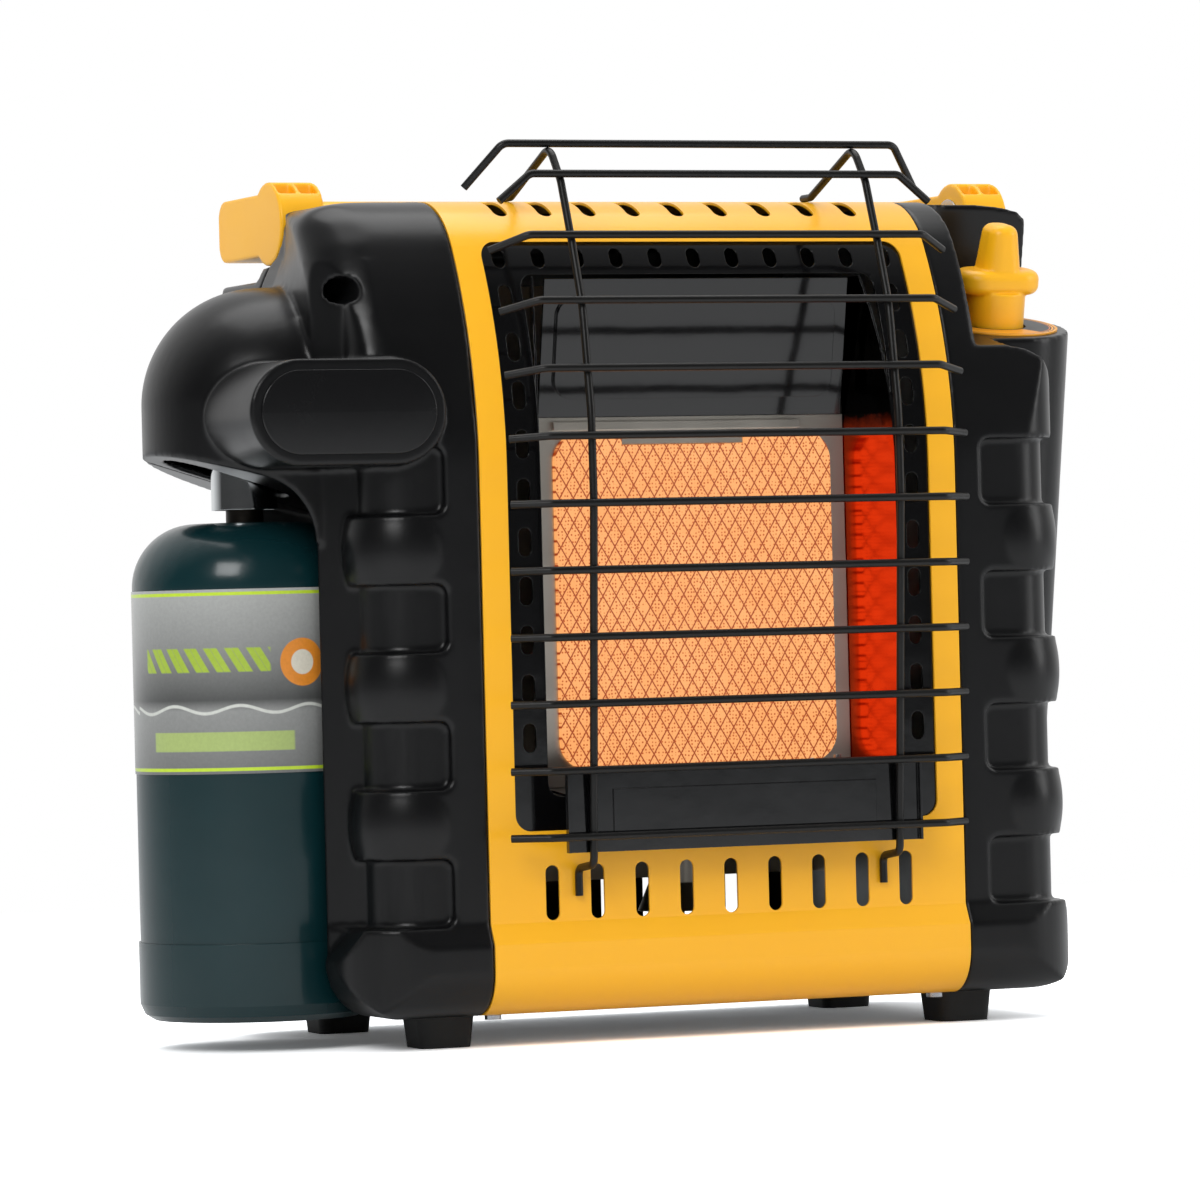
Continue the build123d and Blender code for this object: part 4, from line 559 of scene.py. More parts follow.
    def build(self) -> bpy.types.Material:
        """Make the label's material.

        Returns:
            The finished material.
        """
        made, tree = self.start()
        seat = add(tree, "ShaderNodeTexCoord").outputs["Object"]
        inputs = {"Vector": seat, "Location": (-self.axis[0], -self.axis[1], -self.low)}
        centred = add(tree, "ShaderNodeMapping", inputs).outputs[0]
        parts = add(tree, "ShaderNodeSeparateXYZ", {0: centred}).outputs
        turn = add(tree, "ShaderNodeMath", {0: parts[1], 1: parts[0]}, operation="ARCTAN2").outputs[0]
        along = add(tree, "ShaderNodeMath", {0: turn, 1: self.radius}, operation="MULTIPLY").outputs[0]
        up = parts[2]
        tall = self.high - self.low
        fade = add(tree, "ShaderNodeMapRange", {"Value": up, FROM_MIN: 0.0, FROM_MAX: tall}).outputs[0]
        shades = add(tree, "ShaderNodeValToRGB", {0: fade})
        ramp(shades, self.greys)
        colour = shades.outputs[0]
        away = self.disc_distance(tree, up, along)
        # leaning bars, a wave line, a pale strip and a disc with a pale core: no one's mark
        marks = [
            (self.bar_mask(tree, up, along, turn), self.bars),
            (self.wave_mask(tree, up, along), self.wave),
            (self.strip_mask(tree, up, turn), self.strip),
            (self.band(tree, away, -self.disc_radius, self.disc_radius, self.soft), self.patch),
            (self.band(tree, away, -self.core_radius, self.core_radius, self.soft), self.core),
        ]
        for low in (self.line_margins[0], tall - self.line_margins[1]):
            marks.append((self.band(tree, up, low, low + self.line_width, self.line_soft), self.line))
        for mask, ink in marks:
            inputs = {0: mask, MIX_A: colour, MIX_B: linear(ink)}
            colour = add(tree, "ShaderNodeMix", inputs, data_type="RGBA").outputs[MIX_OUT]
        fibres = self.noise(tree, seat, self.fibre_mm, RICH_DETAIL)
        (thin, thick), (dark, pale) = self.fibre_span, self.fibre_shade
        inputs = {"Value": fibres, FROM_MIN: thin, FROM_MAX: thick, TO_MIN: dark, TO_MAX: pale}
        shade = add(tree, "ShaderNodeMapRange", inputs).outputs[0]
        inputs = {0: 1.0, MIX_A: colour, MIX_B: shade}
        colour = add(tree, "ShaderNodeMix", inputs, data_type="RGBA", blend_type="MULTIPLY").outputs[MIX_OUT]
        self.finish(tree, self.shader(tree, seat, colour))
        return made


@dataclass(frozen=True)
class DialPrint(Finish):
    """Printed dial face: a dark field with a plain coloured front sector and fine rings round the knob."""

    centre: Point = (0.0, 0.0, 0.0)
    tilt: float = 0.0
    sector: str = "#f2a424"
    sector_turn: Span = (-1.05, -1.03)  # it ends between these two angles, in radians
    sector_start: Span = (0.0150, 0.0152)  # and starts between these two radii, in metres
    rings: tuple[tuple[float, float, str], ...] = (
        (0.02435, 0.02485, "#d8741f"), (0.02625, 0.02675, "#3a2a1c"),
    )
    ring_soft: float = 0.00005

    def build(self) -> bpy.types.Material:
        """Make the dial's material.

        Returns:
            The finished material.
        """
        made, tree = self.start()
        seat = add(tree, "ShaderNodeTexCoord").outputs["Object"]
        inputs = {"Vector": seat, "Location": tuple(-c for c in self.centre)}
        moved = add(tree, "ShaderNodeMapping", inputs).outputs[0]
        inputs = {"Vector": moved, "Rotation": (-self.tilt, 0.0, 0.0)}
        level = add(tree, "ShaderNodeMapping", inputs).outputs[0]
        parts = add(tree, "ShaderNodeSeparateXYZ", {0: level}).outputs
        flat = add(tree, "ShaderNodeCombineXYZ", {0: parts[0], 1: parts[1]}).outputs[0]
        away = add(tree, "ShaderNodeVectorMath", {0: flat}, operation="LENGTH").outputs["Value"]
        turn = add(tree, "ShaderNodeMath", {0: parts[1], 1: parts[0]}, operation="ARCTAN2").outputs[0]
        first, last = self.sector_turn
        inputs = {"Value": turn, FROM_MIN: first, FROM_MAX: last, TO_MIN: 1.0, TO_MAX: 0.0}
        front = add(tree, "ShaderNodeMapRange", inputs).outputs[0]
        first, last = self.sector_start
        outer = add(tree, "ShaderNodeMapRange", {"Value": away, FROM_MIN: first, FROM_MAX: last}).outputs[0]
        wedge = add(tree, "ShaderNodeMath", {0: front, 1: outer}, operation="MULTIPLY").outputs[0]
        marks = [(wedge, self.sector)]
        for low, high, ink in self.rings:
            marks.append((self.band(tree, away, low, high, self.ring_soft), ink))
        colour = self.base(tree, seat)
        for mask, ink in marks:
            inputs = {0: mask, MIX_A: colour, MIX_B: linear(ink)}
            colour = add(tree, "ShaderNodeMix", inputs, data_type="RGBA").outputs[MIX_OUT]
        self.finish(tree, self.shader(tree, seat, colour))
        return made


KNOB_CENTRE = (0.157, -0.040, 0.3015)
KNOB_TILT = math.radians(12.0)
CYLINDER_AXIS = (-0.1806, -0.005)
SLEEVE_RADIUS = 0.0489


class Look(Enum):
    """Every finish on the heater."""

    # stove-enamelled sheet: warm yellow, satin, with the faint orange peel of a sprayed coat
    YELLOW_SHEET = Finish(
        "powder_coated_yellow_steel", "#f9b61c", "#f7b016", 0.34, 0.05, ior=1.46, coat=0.2,
        coat_roughness=0.18, grain_mm=1.6, grain_depth_mm=0.010, ripple_mm=22.0, ripple_depth_mm=0.05,
    )
    # injection-moulded nylon: a deeper yellow with a soft, slightly waxy highlight
    YELLOW_MOULDING = Finish(
        "moulded_yellow_nylon", "#fcba18", "#fab212", 0.36, 0.05, ior=1.46, grain_mm=0.7,
        grain_depth_mm=0.012, ripple_mm=10.0, ripple_depth_mm=0.04, edge_mm=0.9,
    )
    # injection-moulded ABS: near black, fine spark-eroded grain that spreads the highlights
    BLACK_MOULDING = Finish(
        "moulded_black_abs", "#0b0b0c", "#0e0e0f", 0.30, 0.05, ior=1.38, grain_mm=0.6,
        grain_depth_mm=0.010, ripple_mm=18.0, ripple_depth_mm=0.05, edge_mm=1.4,
    )
    # the smoother black of small trim mouldings
    BLACK_TRIM = Finish(
        "smooth_black_abs", "#0c0c0d", "#101011", 0.26, 0.04, ior=1.42, grain_mm=0.9, grain_depth_mm=0.005,
        edge_mm=0.6,
    )
    # vitreous enamel on steel: black glass with a long ripple that bends its reflections
    BLACK_ENAMEL = Finish(
        "black_vitreous_enamel", "#060607", "#09090a", 0.10, 0.03, coat=0.2, coat_roughness=0.04,
        grain_mm=2.6, grain_depth_mm=0.006, ripple_mm=26.0, ripple_depth_mm=0.10,
    )
    # the same enamel beside the fire, fused to a mirror that passes on mostly red; its red tint is a painted
    # reflection of the fire
    MIRROR_ENAMEL = FireReflectionTint(
        "enamel_with_painted_fire_reflection", "#ea5428", "#d04014", 0.12, 0.03, metallic=1.0, grain_mm=3.0,
        grain_depth_mm=0.004, ripple_mm=9.0, ripple_depth_mm=0.05,
    )
    # baked coating on wire: satin black, slightly pebbled
    BLACK_WIRE = Finish(
        "baked_black_wire", "#0a0a09", "#0e0d0c", 0.38, 0.07, ior=1.40, grain_mm=0.9, grain_depth_mm=0.03,
        edge_mm=0.0,
    )
    # aluminised sheet near the fire: pale, brushed along its length
    BRIGHT_SHEET = Finish(
        "aluminised_sheet", "#d4cfc6", "#bdb6aa", 0.34, 0.08, metallic=1.0, grain_mm=0.5,
        grain_depth_mm=0.008, stretch=(1.0, 1.0, 0.12),
    )
    # hot-dip zinc: grey with the large soft flakes of its spangle
    ZINC_SHEET = Finish(
        "galvanised_sheet", "#aeb1b3", "#8f9396", 0.40, 0.10, metallic=1.0, grain_mm=1.2,
        grain_depth_mm=0.006, drift_mm=9.0,
    )
    # electroplated zinc on small hardware: bright and a little blue
    ZINC_PLATE = Finish(
        "zinc_plated_steel", "#c3c6ca", "#a9adb3", 0.26, 0.06, metallic=1.0, grain_mm=0.4,
        grain_depth_mm=0.004,
    )
    # polished chromium on the connector
    CHROME = Finish(
        "chromium_plate", "#dcdfe0", "#cfd3d6", 0.09, 0.03, metallic=1.0, grain_mm=2.0, grain_depth_mm=0.002,
    )
    # turned brass with fine tool marks
    BRASS = Finish(
        "turned_brass", "#c9a24e", "#b48c3c", 0.28, 0.06, metallic=1.0, grain_mm=0.35,
        grain_depth_mm=0.006, stretch=(0.2, 1.0, 1.0),
    )
    # drawn aluminium tube, dull and pale
    TUBE = Finish(
        "drawn_aluminium_tube", "#c2c3c4", "#a8aaab", 0.33, 0.07, metallic=1.0, grain_mm=0.6,
        grain_depth_mm=0.006,
    )
    # pressure die-cast zinc: grey, faintly mottled, never polished
    DIE_CAST = Finish(
        "die_cast_zinc", "#9a9b9d", "#7f8184", 0.46, 0.07, metallic=0.9, grain_mm=0.9, grain_depth_mm=0.03,
    )
    # glazed alumina round the spark electrode
    WHITE_CERAMIC = Finish(
        "glazed_alumina", "#ece7dc", "#e0d9cb", 0.22, 0.05, ior=1.7, grain_mm=1.0, grain_depth_mm=0.01,
    )
    # needled glass-fibre gasket: off-white felt
    FIBRE = Finish(
        "glass_fibre_gasket", "#d8d2c4", "#bfb7a6", 0.9, 0.05, ior=1.45, grain_mm=0.5, grain_depth_mm=0.15,
    )
    # gloss stoving enamel on the gas cylinder: a blue-green so dark that only its edges show colour
    GREEN_PAINT = Finish(
        "dark_green_stoved_enamel", "#0b2d31", "#092629", 0.24, 0.05, ior=1.42, coat=0.15,
        coat_roughness=0.10, grain_mm=1.8, grain_depth_mm=0.012, ripple_mm=30.0, ripple_depth_mm=0.12,
    )
    # vulcanised rubber feet: matt and slightly grey
    RUBBER = Finish(
        "vulcanised_rubber", "#1a1a19", "#222120", 0.72, 0.08, ior=1.52, grain_mm=0.8, grain_depth_mm=0.05,
    )
    # metal of the valve neck under the connector, painted nearly black as the shade under the connector,
    # with a dull gleam
    DARK_NECK = Finish(
        "neck_metal_painted_shade", "#2b2620", "#1d1a17", 0.42, 0.06, metallic=0.8, grain_mm=0.5, grain_depth_mm=0.01,
    )
    # cordierite at working heat: it lights itself, palest between its grooves and redder in its holes
    TILE = GlowingCeramic("glowing_cordierite_tile", "#fcba78", "#f2a058", 0.85, red_heat=1.05)
    # varnished paper: print under a thin clear gloss, with the fibres just showing
    LABEL = PrintedSleeve(
        "varnished_paper_label", "#8d8e8c", "#7c7d7b", 0.30, 0.05, coat=0.4, coat_roughness=0.12,
        grain_mm=2.0, grain_depth_mm=0.008, axis=CYLINDER_AXIS, radius=SLEEVE_RADIUS, low=0.117, high=0.194,
    )
    # screen print on moulded black: even, half-matt ink with crisp edges
    DIAL = DialPrint(
        "printed_dial", "#1d1d1e", "#232324", 0.42, 0.04, centre=KNOB_CENTRE, tilt=KNOB_TILT,
    )
    # the same ink on the yellow rim, warm and half-matt
    DIAL_RIM = DialPrint(
        "printed_dial_rim", "#f4ab2c", "#f2a424", 0.40, 0.04, centre=KNOB_CENTRE, tilt=KNOB_TILT,
    )


class Finishes:
    """Builds each finish once and hands it out."""

    def __init__(self) -> None:
        """Start with nothing built."""
        self.built: dict[Look, bpy.types.Material] = {}

    def of(self, look: Look) -> bpy.types.Material:
        """Return the material of a look, built on first use."""
        if look not in self.built:
            self.built[look] = look.value.build()
        return self.built[look]

    def dress(self, piece: Piece, look: Look) -> None:
        """Give a whole piece one look.

        Args:
            piece: Mesh object.
            look: Its finish.
        """
        piece.data.materials.clear()
        piece.data.materials.append(self.of(look))


# ------------ modelling
def pick(piece: Piece) -> None:
    """Deselect everything else and make a piece the active one.

    Args:
        piece: The object.
    """
    bpy.ops.object.select_all(action="DESELECT")
    piece.select_set(True)
    bpy.context.view_layer.objects.active = piece


def settle(piece: Piece) -> None:
    """Put a piece's place into its mesh, so that its object sits at the origin."""
    pick(piece)
    bpy.ops.object.transform_apply(location=True, rotation=True, scale=True)


def smooth(piece: Piece, degrees: float) -> None:
    """Shade a piece smooth wherever its faces meet at less than an angle.

    Args:
        piece: Mesh object.
        degrees: The angle.
    """
    pick(piece)
    bpy.ops.object.shade_smooth_by_angle(angle=math.radians(degrees), keep_sharp_edges=False)


def modify(piece: Piece, kind: str, **settings) -> None:
    """Add a modifier and apply it.

    Args:
        piece: Mesh object.
        kind: Modifier type.
        settings: Its properties.
    """
    pick(piece)
    made = piece.modifiers.new(kind.lower(), kind)
    for name, value in settings.items():
        setattr(made, name, value)
    bpy.ops.object.modifier_apply(modifier=made.name)


@dataclass(frozen=True)
class Spot:
    """A region of a mesh that is rubbed smooth, as an axis-aligned box in metres."""

    low: Point
    high: Point
    passes: int

    def rub(self, piece: Piece) -> None:
        """Smooth the vertices inside the box.

        Args:
            piece: Mesh object.
        """
        pick(piece)
        for vertex in piece.data.vertices:
            vertex.select = all(a <= c <= b for a, c, b in zip(self.low, vertex.co, self.high))
        bpy.ops.object.mode_set(mode="EDIT")
        bpy.ops.mesh.select_mode(type="VERT")
        bpy.ops.mesh.vertices_smooth(factor=HALF_WAY, repeat=self.passes)
        bpy.ops.object.mode_set(mode="OBJECT")


@dataclass(frozen=True)
class Cast:
    """How a copy of a CAD node's mesh becomes a moulded piece with flowing edges.

    The copy is rebuilt from voxels, smoothed all over and again in its spots, and then keeps a share
    of its faces.
    """

    node: str
    body: str
    look: Look
    slot: str
    voxel_mm: float
    passes: int
    keep: float
    spots: tuple[Spot, ...] = ()
    smooth_degrees: float = 50.0


class Workshop:
    """Turns CAD nodes and primitives into finished pieces on their bodies."""

    def __init__(self, finishes: Finishes) -> None:
        """Keep the finishes and the names of what was replaced."""
        self.finishes = finishes
        self.replaced: set[str] = set()

    def mount(self, piece: Piece, body: str, names: Sequence[str]) -> None:
        """Set a finished piece on its body in place of CAD nodes.

        Args:
            piece: The finished mesh.
            body: Body that it moves with.
            names: Nodes that it stands for.
        """
        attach(piece, body)
        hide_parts(*names)
        self.replaced.update(names)
        LOG.info("%s rides on %s, %d faces", piece.name, body, len(piece.data.polygons))

    def copy_of(self, node: str, name: str) -> Piece:
        """Copy a node's mesh and join its loose triangles.

        Args:
            node: CAD node.
            name: Name of the new piece.

        Returns:
            The new object.
        """
        data = frame["nodes"][node].data.copy()
        data.name = name
        piece = bpy.data.objects.new(name, data)
        bpy.context.scene.collection.objects.link(piece)
        pick(piece)
        bpy.ops.object.mode_set(mode="EDIT")
        bpy.ops.mesh.select_all(action="SELECT")
        bpy.ops.mesh.customdata_custom_splitnormals_clear()
        bpy.ops.mesh.remove_doubles(threshold=WELD)
        bpy.ops.object.mode_set(mode="OBJECT")
        return piece

    def bevel_edges(
        self, piece: Piece, wanted: Callable[[Vector, Vector], bool], width: float, steps: int
    ) -> None:
        """Bevel the edges whose two ends pass a test.

        Args:
            piece: Mesh object.
            wanted: Test on the places of an edge's two ends.
            width: Width of the bevel in metres.
            steps: Number of segments.
        """
        pick(piece)
        bpy.ops.object.mode_set(mode="EDIT")
        bpy.ops.mesh.select_mode(type="EDGE")
        bpy.ops.mesh.select_all(action="DESELECT")
        bpy.ops.object.mode_set(mode="OBJECT")
        points = piece.data.vertices
        for edge in piece.data.edges:
            edge.select = wanted(*(points[i].co for i in edge.vertices))
        bpy.ops.object.mode_set(mode="EDIT")
        bpy.ops.mesh.bevel(offset=width, offset_type="OFFSET", segments=steps, profile=0.5, affect="EDGES")
        bpy.ops.mesh.remove_doubles(threshold=BEVEL_WELD)
        bpy.ops.object.mode_set(mode="OBJECT")

    def cast(self, plan: Cast) -> None:
        """Make a moulded piece from a copy of a node: its edges and inner corners flow into each other.

        Args:
            plan: Which node, and how.
        """
        piece = self.copy_of(plan.node, plan.node + "_moulded")
        modify(piece, "REMESH", mode="VOXEL", voxel_size=plan.voxel_mm * MM, adaptivity=0.0)
        modify(piece, "SMOOTH", factor=HALF_WAY, iterations=plan.passes)
        for spot in plan.spots:
            spot.rub(piece)
        modify(piece, "DECIMATE", decimate_type="COLLAPSE", ratio=plan.keep)
        smooth(piece, plan.smooth_degrees)
        self.finishes.dress(piece, plan.look)
        self.mount(piece, plan.body, [plan.node])


# ------------ carried-over nodes
SLOT_LOOKS = {
    "yellow_enamel": Look.YELLOW_SHEET,
    "moulded_black": Look.BLACK_MOULDING,
    "yellow_moulding": Look.YELLOW_MOULDING,
    "black_enamel": Look.BLACK_ENAMEL,
    "black_wire": Look.BLACK_WIRE,
    "bright_steel": Look.BRIGHT_SHEET,
    "galvanised_steel": Look.ZINC_SHEET,
    "burner_ceramic": Look.TILE,
    "spark_ceramic": Look.WHITE_CERAMIC,
    "fibre_gasket": Look.FIBRE,
    "brass": Look.BRASS,
    "tube_metal": Look.TUBE,
    "cast_zinc": Look.DIE_CAST,
    "chrome": Look.CHROME,
    "zinc_steel": Look.ZINC_PLATE,
    "black_trim": Look.BLACK_TRIM,
    "green_paint": Look.GREEN_PAINT,
    "printed_label": Look.LABEL,
    "rubber": Look.RUBBER,
}
NODE_LOOKS = {
    "dial_disc": Look.DIAL,
    "dial_ring": Look.DIAL_RIM,
    # the neck is painted dark as shade under the connector
    "cylinder_neck": Look.DARK_NECK,
}


def carried_over(finishes: Finishes, replaced: set[str]) -> None:
    """Give every CAD node that stays its own material.

    Args:
        finishes: The finishes.
        replaced: Nodes that other pieces stand for.
    """
    for row in frame["record"]["subparts"]:
        node = row["node"]
        if node in replaced:
            continue
        look = NODE_LOOKS.get(node, SLOT_LOOKS[row["material_slot"]])
        finishes.dress(frame["nodes"][node], look)
        LOG.info("%s keeps its CAD shape as %s", node, look.value.name)


# ------------ studio
@dataclass
class SoftBox:
    """A rectangular studio lamp that looks at a point."""

    name: str
    place: Point
    size: Span
    watts: float
    aim: Point = (0.0, 0.0, 0.2)

    def build(self) -> None:
        """Add the lamp."""
        light = bpy.data.lights.new(self.name, "AREA")
        light.shape = "RECTANGLE"
        light.size, light.size_y = self.size
        light.energy = self.watts
        lamp = bpy.data.objects.new(self.name, light)
        bpy.context.scene.collection.objects.link(lamp)
        toward = Vector(self.aim) - Vector(self.place)
        turn = toward.to_track_quat("-Z", "Y").to_matrix()
        lamp.matrix_world = Matrix.Translation(self.place) @ turn.to_4x4()


@dataclass
class Studio:
    """Pale floor, white surroundings, soft lamps and the camera.

    Lengths are in metres and the camera's angles in degrees, unless a name says otherwise.
    """

    floor_size: float = 12.0
    floor_z: float = 0.0
    floor_tint: str = "#f4f4f4"
    floor_boost: float = 2.1
    floor_glow: float = 0.06
    floor_fade: Span = (0.35, 1.3)
    fill_tint: str = "#eef1f4"
    world_fill: float = 0.70
    room: float = 0.05
    sweep: float = 0.9
    sweep_way: Point = (0.3, 0.85, 0.45)
    sweep_fade: Span = (-0.05, 0.65)
    heading: float = 22.522
    pitch: float = 0.08
    roll: float = 1.449
    camera_place: Point = (-1.089742, -2.588096, 0.181786)
    lens_mm: float = 193.587
    sensor_mm: float = 36.0
    clip: Span = (0.05, 60.0)
    boxes: list[SoftBox] = field(default_factory=list)

    def build_world(self) -> None:
        """White surroundings behind the object, a dim room before it, and an even fill for matt surfaces.

        The camera and glass see plain white. A gloss surface sees the white sweep where it really
        stands, behind the object and over it, and the darker room on the near side.
        """
        world = bpy.data.worlds.new("surroundings")
        bpy.context.scene.world = world
        world.use_nodes = True
        tree = world.node_tree
        tree.nodes.clear()
        path = add(tree, "ShaderNodeLightPath").outputs
        inputs = {0: path["Is Camera Ray"], 1: path["Is Transmission Ray"]}
        plain = add(tree, "ShaderNodeMath", inputs, operation="MAXIMUM").outputs[0]
        way = add(tree, "ShaderNodeTexCoord").outputs["Object"]
        inputs = {0: way, 1: self.sweep_way}
        toward = add(tree, "ShaderNodeVectorMath", inputs, operation="DOT_PRODUCT").outputs["Value"]
        start, end = self.sweep_fade
        inputs = {"Value": toward, FROM_MIN: start, FROM_MAX: end, TO_MIN: self.room, TO_MAX: self.sweep}
        sweep = add(tree, "ShaderNodeMapRange", inputs).outputs[0]
        fill, mirrored, white = (
            add(tree, "ShaderNodeBackground", {"Color": linear(tint), "Strength": strength}).outputs[0]
            for tint, strength in ((self.fill_tint, self.world_fill), (WHITE, sweep), (WHITE, 1.0))
        )
        inputs = {0: path["Is Glossy Ray"], 1: fill, 2: mirrored}
        near = add(tree, "ShaderNodeMixShader", inputs).outputs[0]
        both = add(tree, "ShaderNodeMixShader", {0: plain, 1: near, 2: white}).outputs[0]
        add(tree, "ShaderNodeOutputWorld", {"Surface": both})

    def build_floor(self) -> None:
        """Pale floor that keeps the shadow and fades into the white behind it.

        The camera sees it brighter than the object does, so that it is near white and yet throws
        little light up at the object.
        """
        bpy.ops.object.select_all(action="DESELECT")
        bpy.ops.mesh.primitive_plane_add(size=self.floor_size, location=(0.0, 0.0, self.floor_z))
        floor = bpy.context.active_object
        floor.name = "studio_floor"
        made = bpy.data.materials.new("pale_floor")
        made.use_nodes = True
        tree = made.node_tree
        tree.nodes.clear()
        seat = add(tree, "ShaderNodeTexCoord").outputs["Object"]
        away = add(tree, "ShaderNodeVectorMath", {0: seat}, operation="LENGTH").outputs["Value"]
        start, end = self.floor_fade
        inputs = {"Value": away, FROM_MIN: start, FROM_MAX: end, TO_MIN: 1.0, TO_MAX: 0.0}
        near = add(tree, "ShaderNodeMapRange", inputs).outputs[0]
        seen = add(tree, "ShaderNodeLightPath").outputs["Is Camera Ray"]
        matt = add(tree, "ShaderNodeBsdfDiffuse", {"Color": linear(self.floor_tint)}).outputs[0]
        boost = (self.floor_boost,) * 3 + (1.0,)
        pale = add(tree, "ShaderNodeBsdfDiffuse", {"Color": boost}).outputs[0]
        glow, lit = (
            add(tree, "ShaderNodeEmission", {"Color": linear(WHITE), "Strength": strength}).outputs[0]
            for strength in (self.floor_glow, 1.0)
        )
        boosted = add(tree, "ShaderNodeAddShader", {0: pale, 1: glow}).outputs[0]
        close = add(tree, "ShaderNodeMixShader", {0: seen, 1: matt, 2: boosted}).outputs[0]
        far = add(tree, "ShaderNodeMixShader", {0: seen, 1: matt, 2: lit}).outputs[0]
        both = add(tree, "ShaderNodeMixShader", {0: near, 1: far, 2: close}).outputs[0]
        add(tree, "ShaderNodeOutputMaterial", {"Surface": both})
        floor.data.materials.append(made)

    def build_camera(self) -> None:
        """Camera at the viewing angle, with its own small roll."""
        data = bpy.data.cameras.new("studio_camera")
        data.sensor_width = self.sensor_mm
        data.lens = self.lens_mm
        data.clip_start, data.clip_end = self.clip
        camera = bpy.data.objects.new("studio_camera", data)
        bpy.context.scene.collection.objects.link(camera)
        a, p, t = (math.radians(v) for v in (self.heading, self.pitch, self.roll))
        forward = Vector((math.sin(a) * math.cos(p), math.cos(a) * math.cos(p), math.sin(p)))
        right = Vector((math.cos(a), -math.sin(a), 0.0))
        up = right.cross(forward)
        side = right * math.cos(t) - up * math.sin(t)
        top = side.cross(forward)
        turn = Matrix((side, top, -forward)).transposed()
        camera.matrix_world = Matrix.Translation(self.camera_place) @ turn.to_4x4()
        bpy.context.scene.camera = camera

    def build(self) -> None:
        """Build the whole studio."""
        bpy.context.scene.view_settings.view_transform = "Standard"
        self.build_camera()
        self.build_world()
        self.build_floor()
        for box in self.boxes:
            box.build()
        LOG.info("studio with %d lamps", len(self.boxes))


# ------------ sub-assemblies
@dataclass
class Window:
    """Enamelled window surround, whose side walls mirror the fire and carry a painted red reflection of it.
    """

    wall_reach_mm: float = 84.0
    wall_low_mm: float = 100.0
    wall_facing: float = 0.90
    smooth_degrees: float = 30.0

    def build(self, shop: Workshop) -> None:
        """Copy the surround and give the walls beside the burner their own gloss, tinted with a painted
        reflection of the fire.

        Args:
            shop: Workshop that makes the pieces.
        """
        piece = shop.copy_of("window_frame", "window_surround")
        smooth(piece, self.smooth_degrees)
        piece.data.materials.clear()
        # the second material paints the fire's red reflection on the side walls
        for look in (Look.BLACK_ENAMEL, Look.MIRROR_ENAMEL):
            piece.data.materials.append(shop.finishes.of(look))
        reach, low = self.wall_reach_mm * MM, self.wall_low_mm * MM
        for face in piece.data.polygons:
            inside = abs(face.center.x) < reach and face.center.z > low
            face.material_index = int(inside and abs(face.normal.x) > self.wall_facing)
        shop.mount(piece, "heater", ["window_frame"])


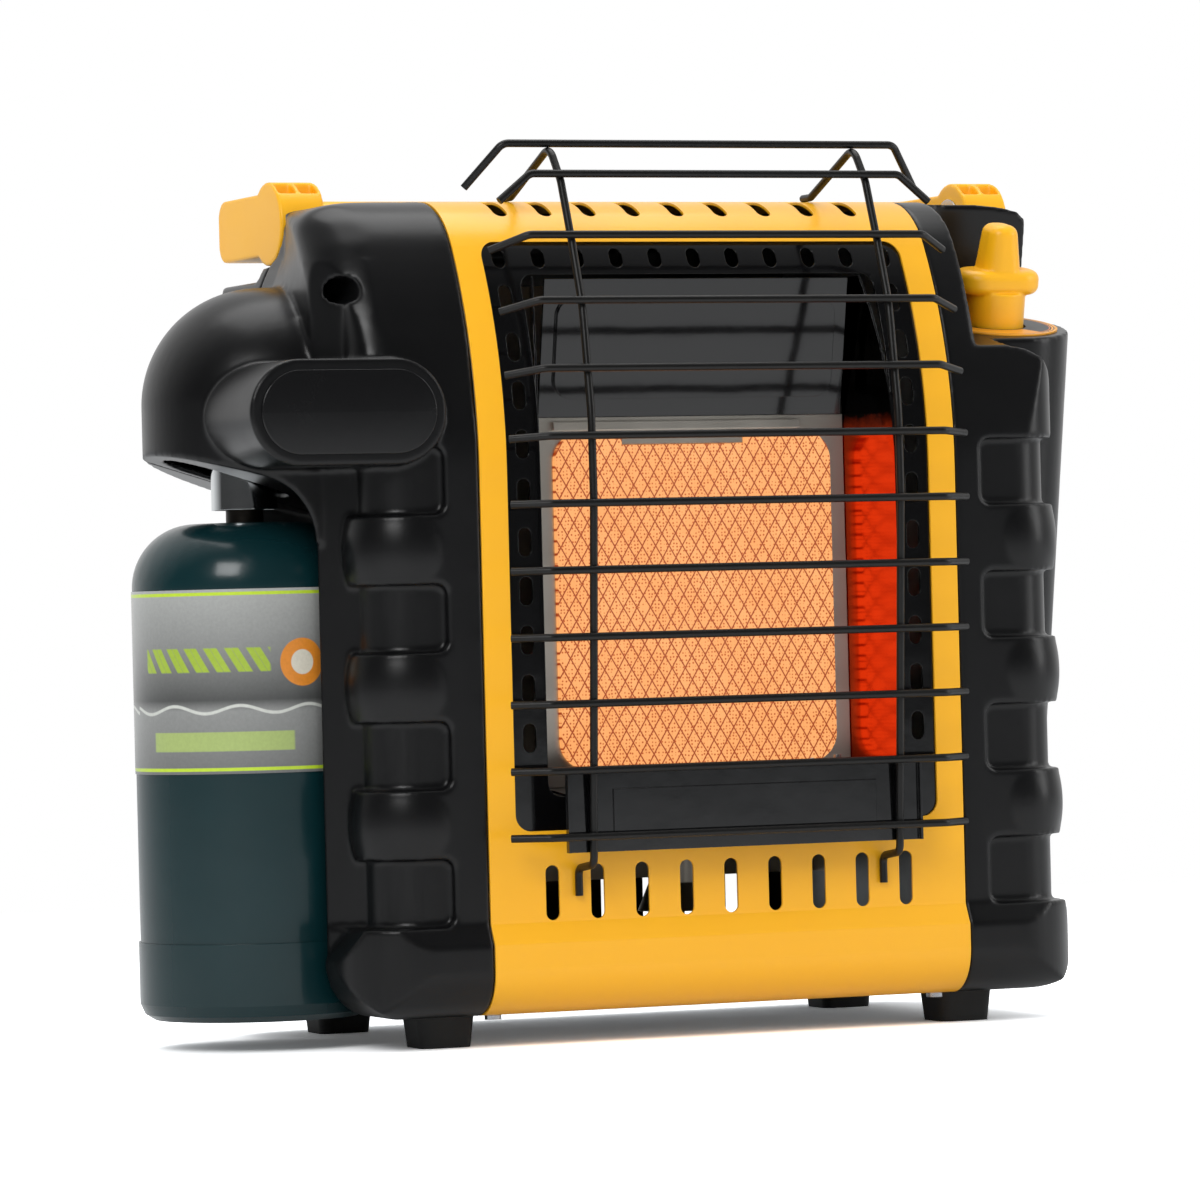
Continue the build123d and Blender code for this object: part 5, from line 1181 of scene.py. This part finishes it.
@dataclass
class Mouldings:
    """Black housings, with the smooth plaque on the regulator pod."""

    front_voxel_mm: float = 1.0
    front_passes: int = 4
    front_keep: float = 0.30
    rear_voxel_mm: float = 1.3
    rear_passes: int = 5
    rear_keep: float = 0.45
    plaque_size_mm: Point = (77.0, 0.8, 35.0)
    plaque_place_mm: Point = (-167.0, -99.9, 265.5)
    plaque_edge_mm: float = 0.6
    plaque_edge_steps: int = 4
    plaque_end_share: float = 0.4999  # radius of the round ends against the height, just short of a half
    plaque_end_steps: int = 16
    plaque_smooth_degrees: float = 40.0
    shoulder_spots: tuple[Spot, ...] = (
        Spot((-0.172, -0.088, 0.330), (-0.116, -0.002, 0.3565), 24),
        Spot((-0.172, -0.100, 0.289), (-0.126, -0.030, 0.307), 16),
    )

    def build(self, shop: Workshop) -> None:
        """Cast the four shells and make the plaque.

        Args:
            shop: Workshop that makes the pieces.
        """
        kind = ("heater", Look.BLACK_MOULDING, "moulded_black")
        front = (self.front_voxel_mm, self.front_passes, self.front_keep)
        rear = (self.rear_voxel_mm, self.rear_passes, self.rear_keep)
        for side, spots in (("left", self.shoulder_spots), ("right", ())):
            shop.cast(Cast(side + "_front_housing", *kind, *front, spots))
            shop.cast(Cast(side + "_rear_housing", *kind, *rear))
        self.plaque(shop)

    def plaque(self, shop: Workshop) -> None:
        """Make the round-ended plaque with its softened front edge.

        Args:
            shop: Workshop that makes the pieces.
        """
        place, size = ([v * MM for v in point] for point in (self.plaque_place_mm, self.plaque_size_mm))
        bpy.ops.object.select_all(action="DESELECT")
        bpy.ops.mesh.primitive_cube_add(size=1.0, location=place, scale=size)
        piece = bpy.context.active_object
        piece.name = "pod_plaque"
        settle(piece)
        radius = size[2] * self.plaque_end_share
        shop.bevel_edges(piece, lambda a, b: abs(a.y - b.y) > TOUCH, radius, self.plaque_end_steps)
        front = place[1] - size[1] / 2 + TOUCH
        edge = self.plaque_edge_mm * MM
        shop.bevel_edges(piece, lambda a, b: max(a.y, b.y) < front, edge, self.plaque_edge_steps)
        smooth(piece, self.plaque_smooth_degrees)
        shop.finishes.dress(piece, Look.BLACK_TRIM)
        shop.mount(piece, "heater", ["name_plate"])


@dataclass
class Grips:
    """Yellow handle and knob."""

    casts: tuple[Cast, ...] = (
        Cast(
            "carrying_handle", "handle", Look.YELLOW_MOULDING, "yellow_moulding",
            voxel_mm=0.75, passes=8, keep=0.5,
        ),
        Cast(
            "control_knob", "knob", Look.YELLOW_MOULDING, "yellow_moulding",
            voxel_mm=0.4, passes=14, keep=0.6,
        ),
    )

    def build(self, shop: Workshop) -> None:
        """Cast the handle and the knob."""
        for plan in self.casts:
            shop.cast(plan)


def main() -> None:
    """Build the studio and every sub-assembly."""
    logging.basicConfig(level=logging.INFO, format="%(name)s: %(message)s")
    finishes = Finishes()
    shop = Workshop(finishes)
    Studio(
        boxes=[
            SoftBox("key", (-1.5, -1.7, 1.5), (1.0, 1.0), 26.0),
            SoftBox("side", (1.9, -1.0, 0.9), (0.6, 1.5), 12.0),
            SoftBox("top", (0.0, 0.3, 2.0), (1.6, 1.2), 15.0),
        ]
    ).build()
    for part in (Window(), Mouldings(), Grips()):
        part.build(shop)
    carried_over(finishes, shop.replaced)


if __name__ == "__main__":
    main()
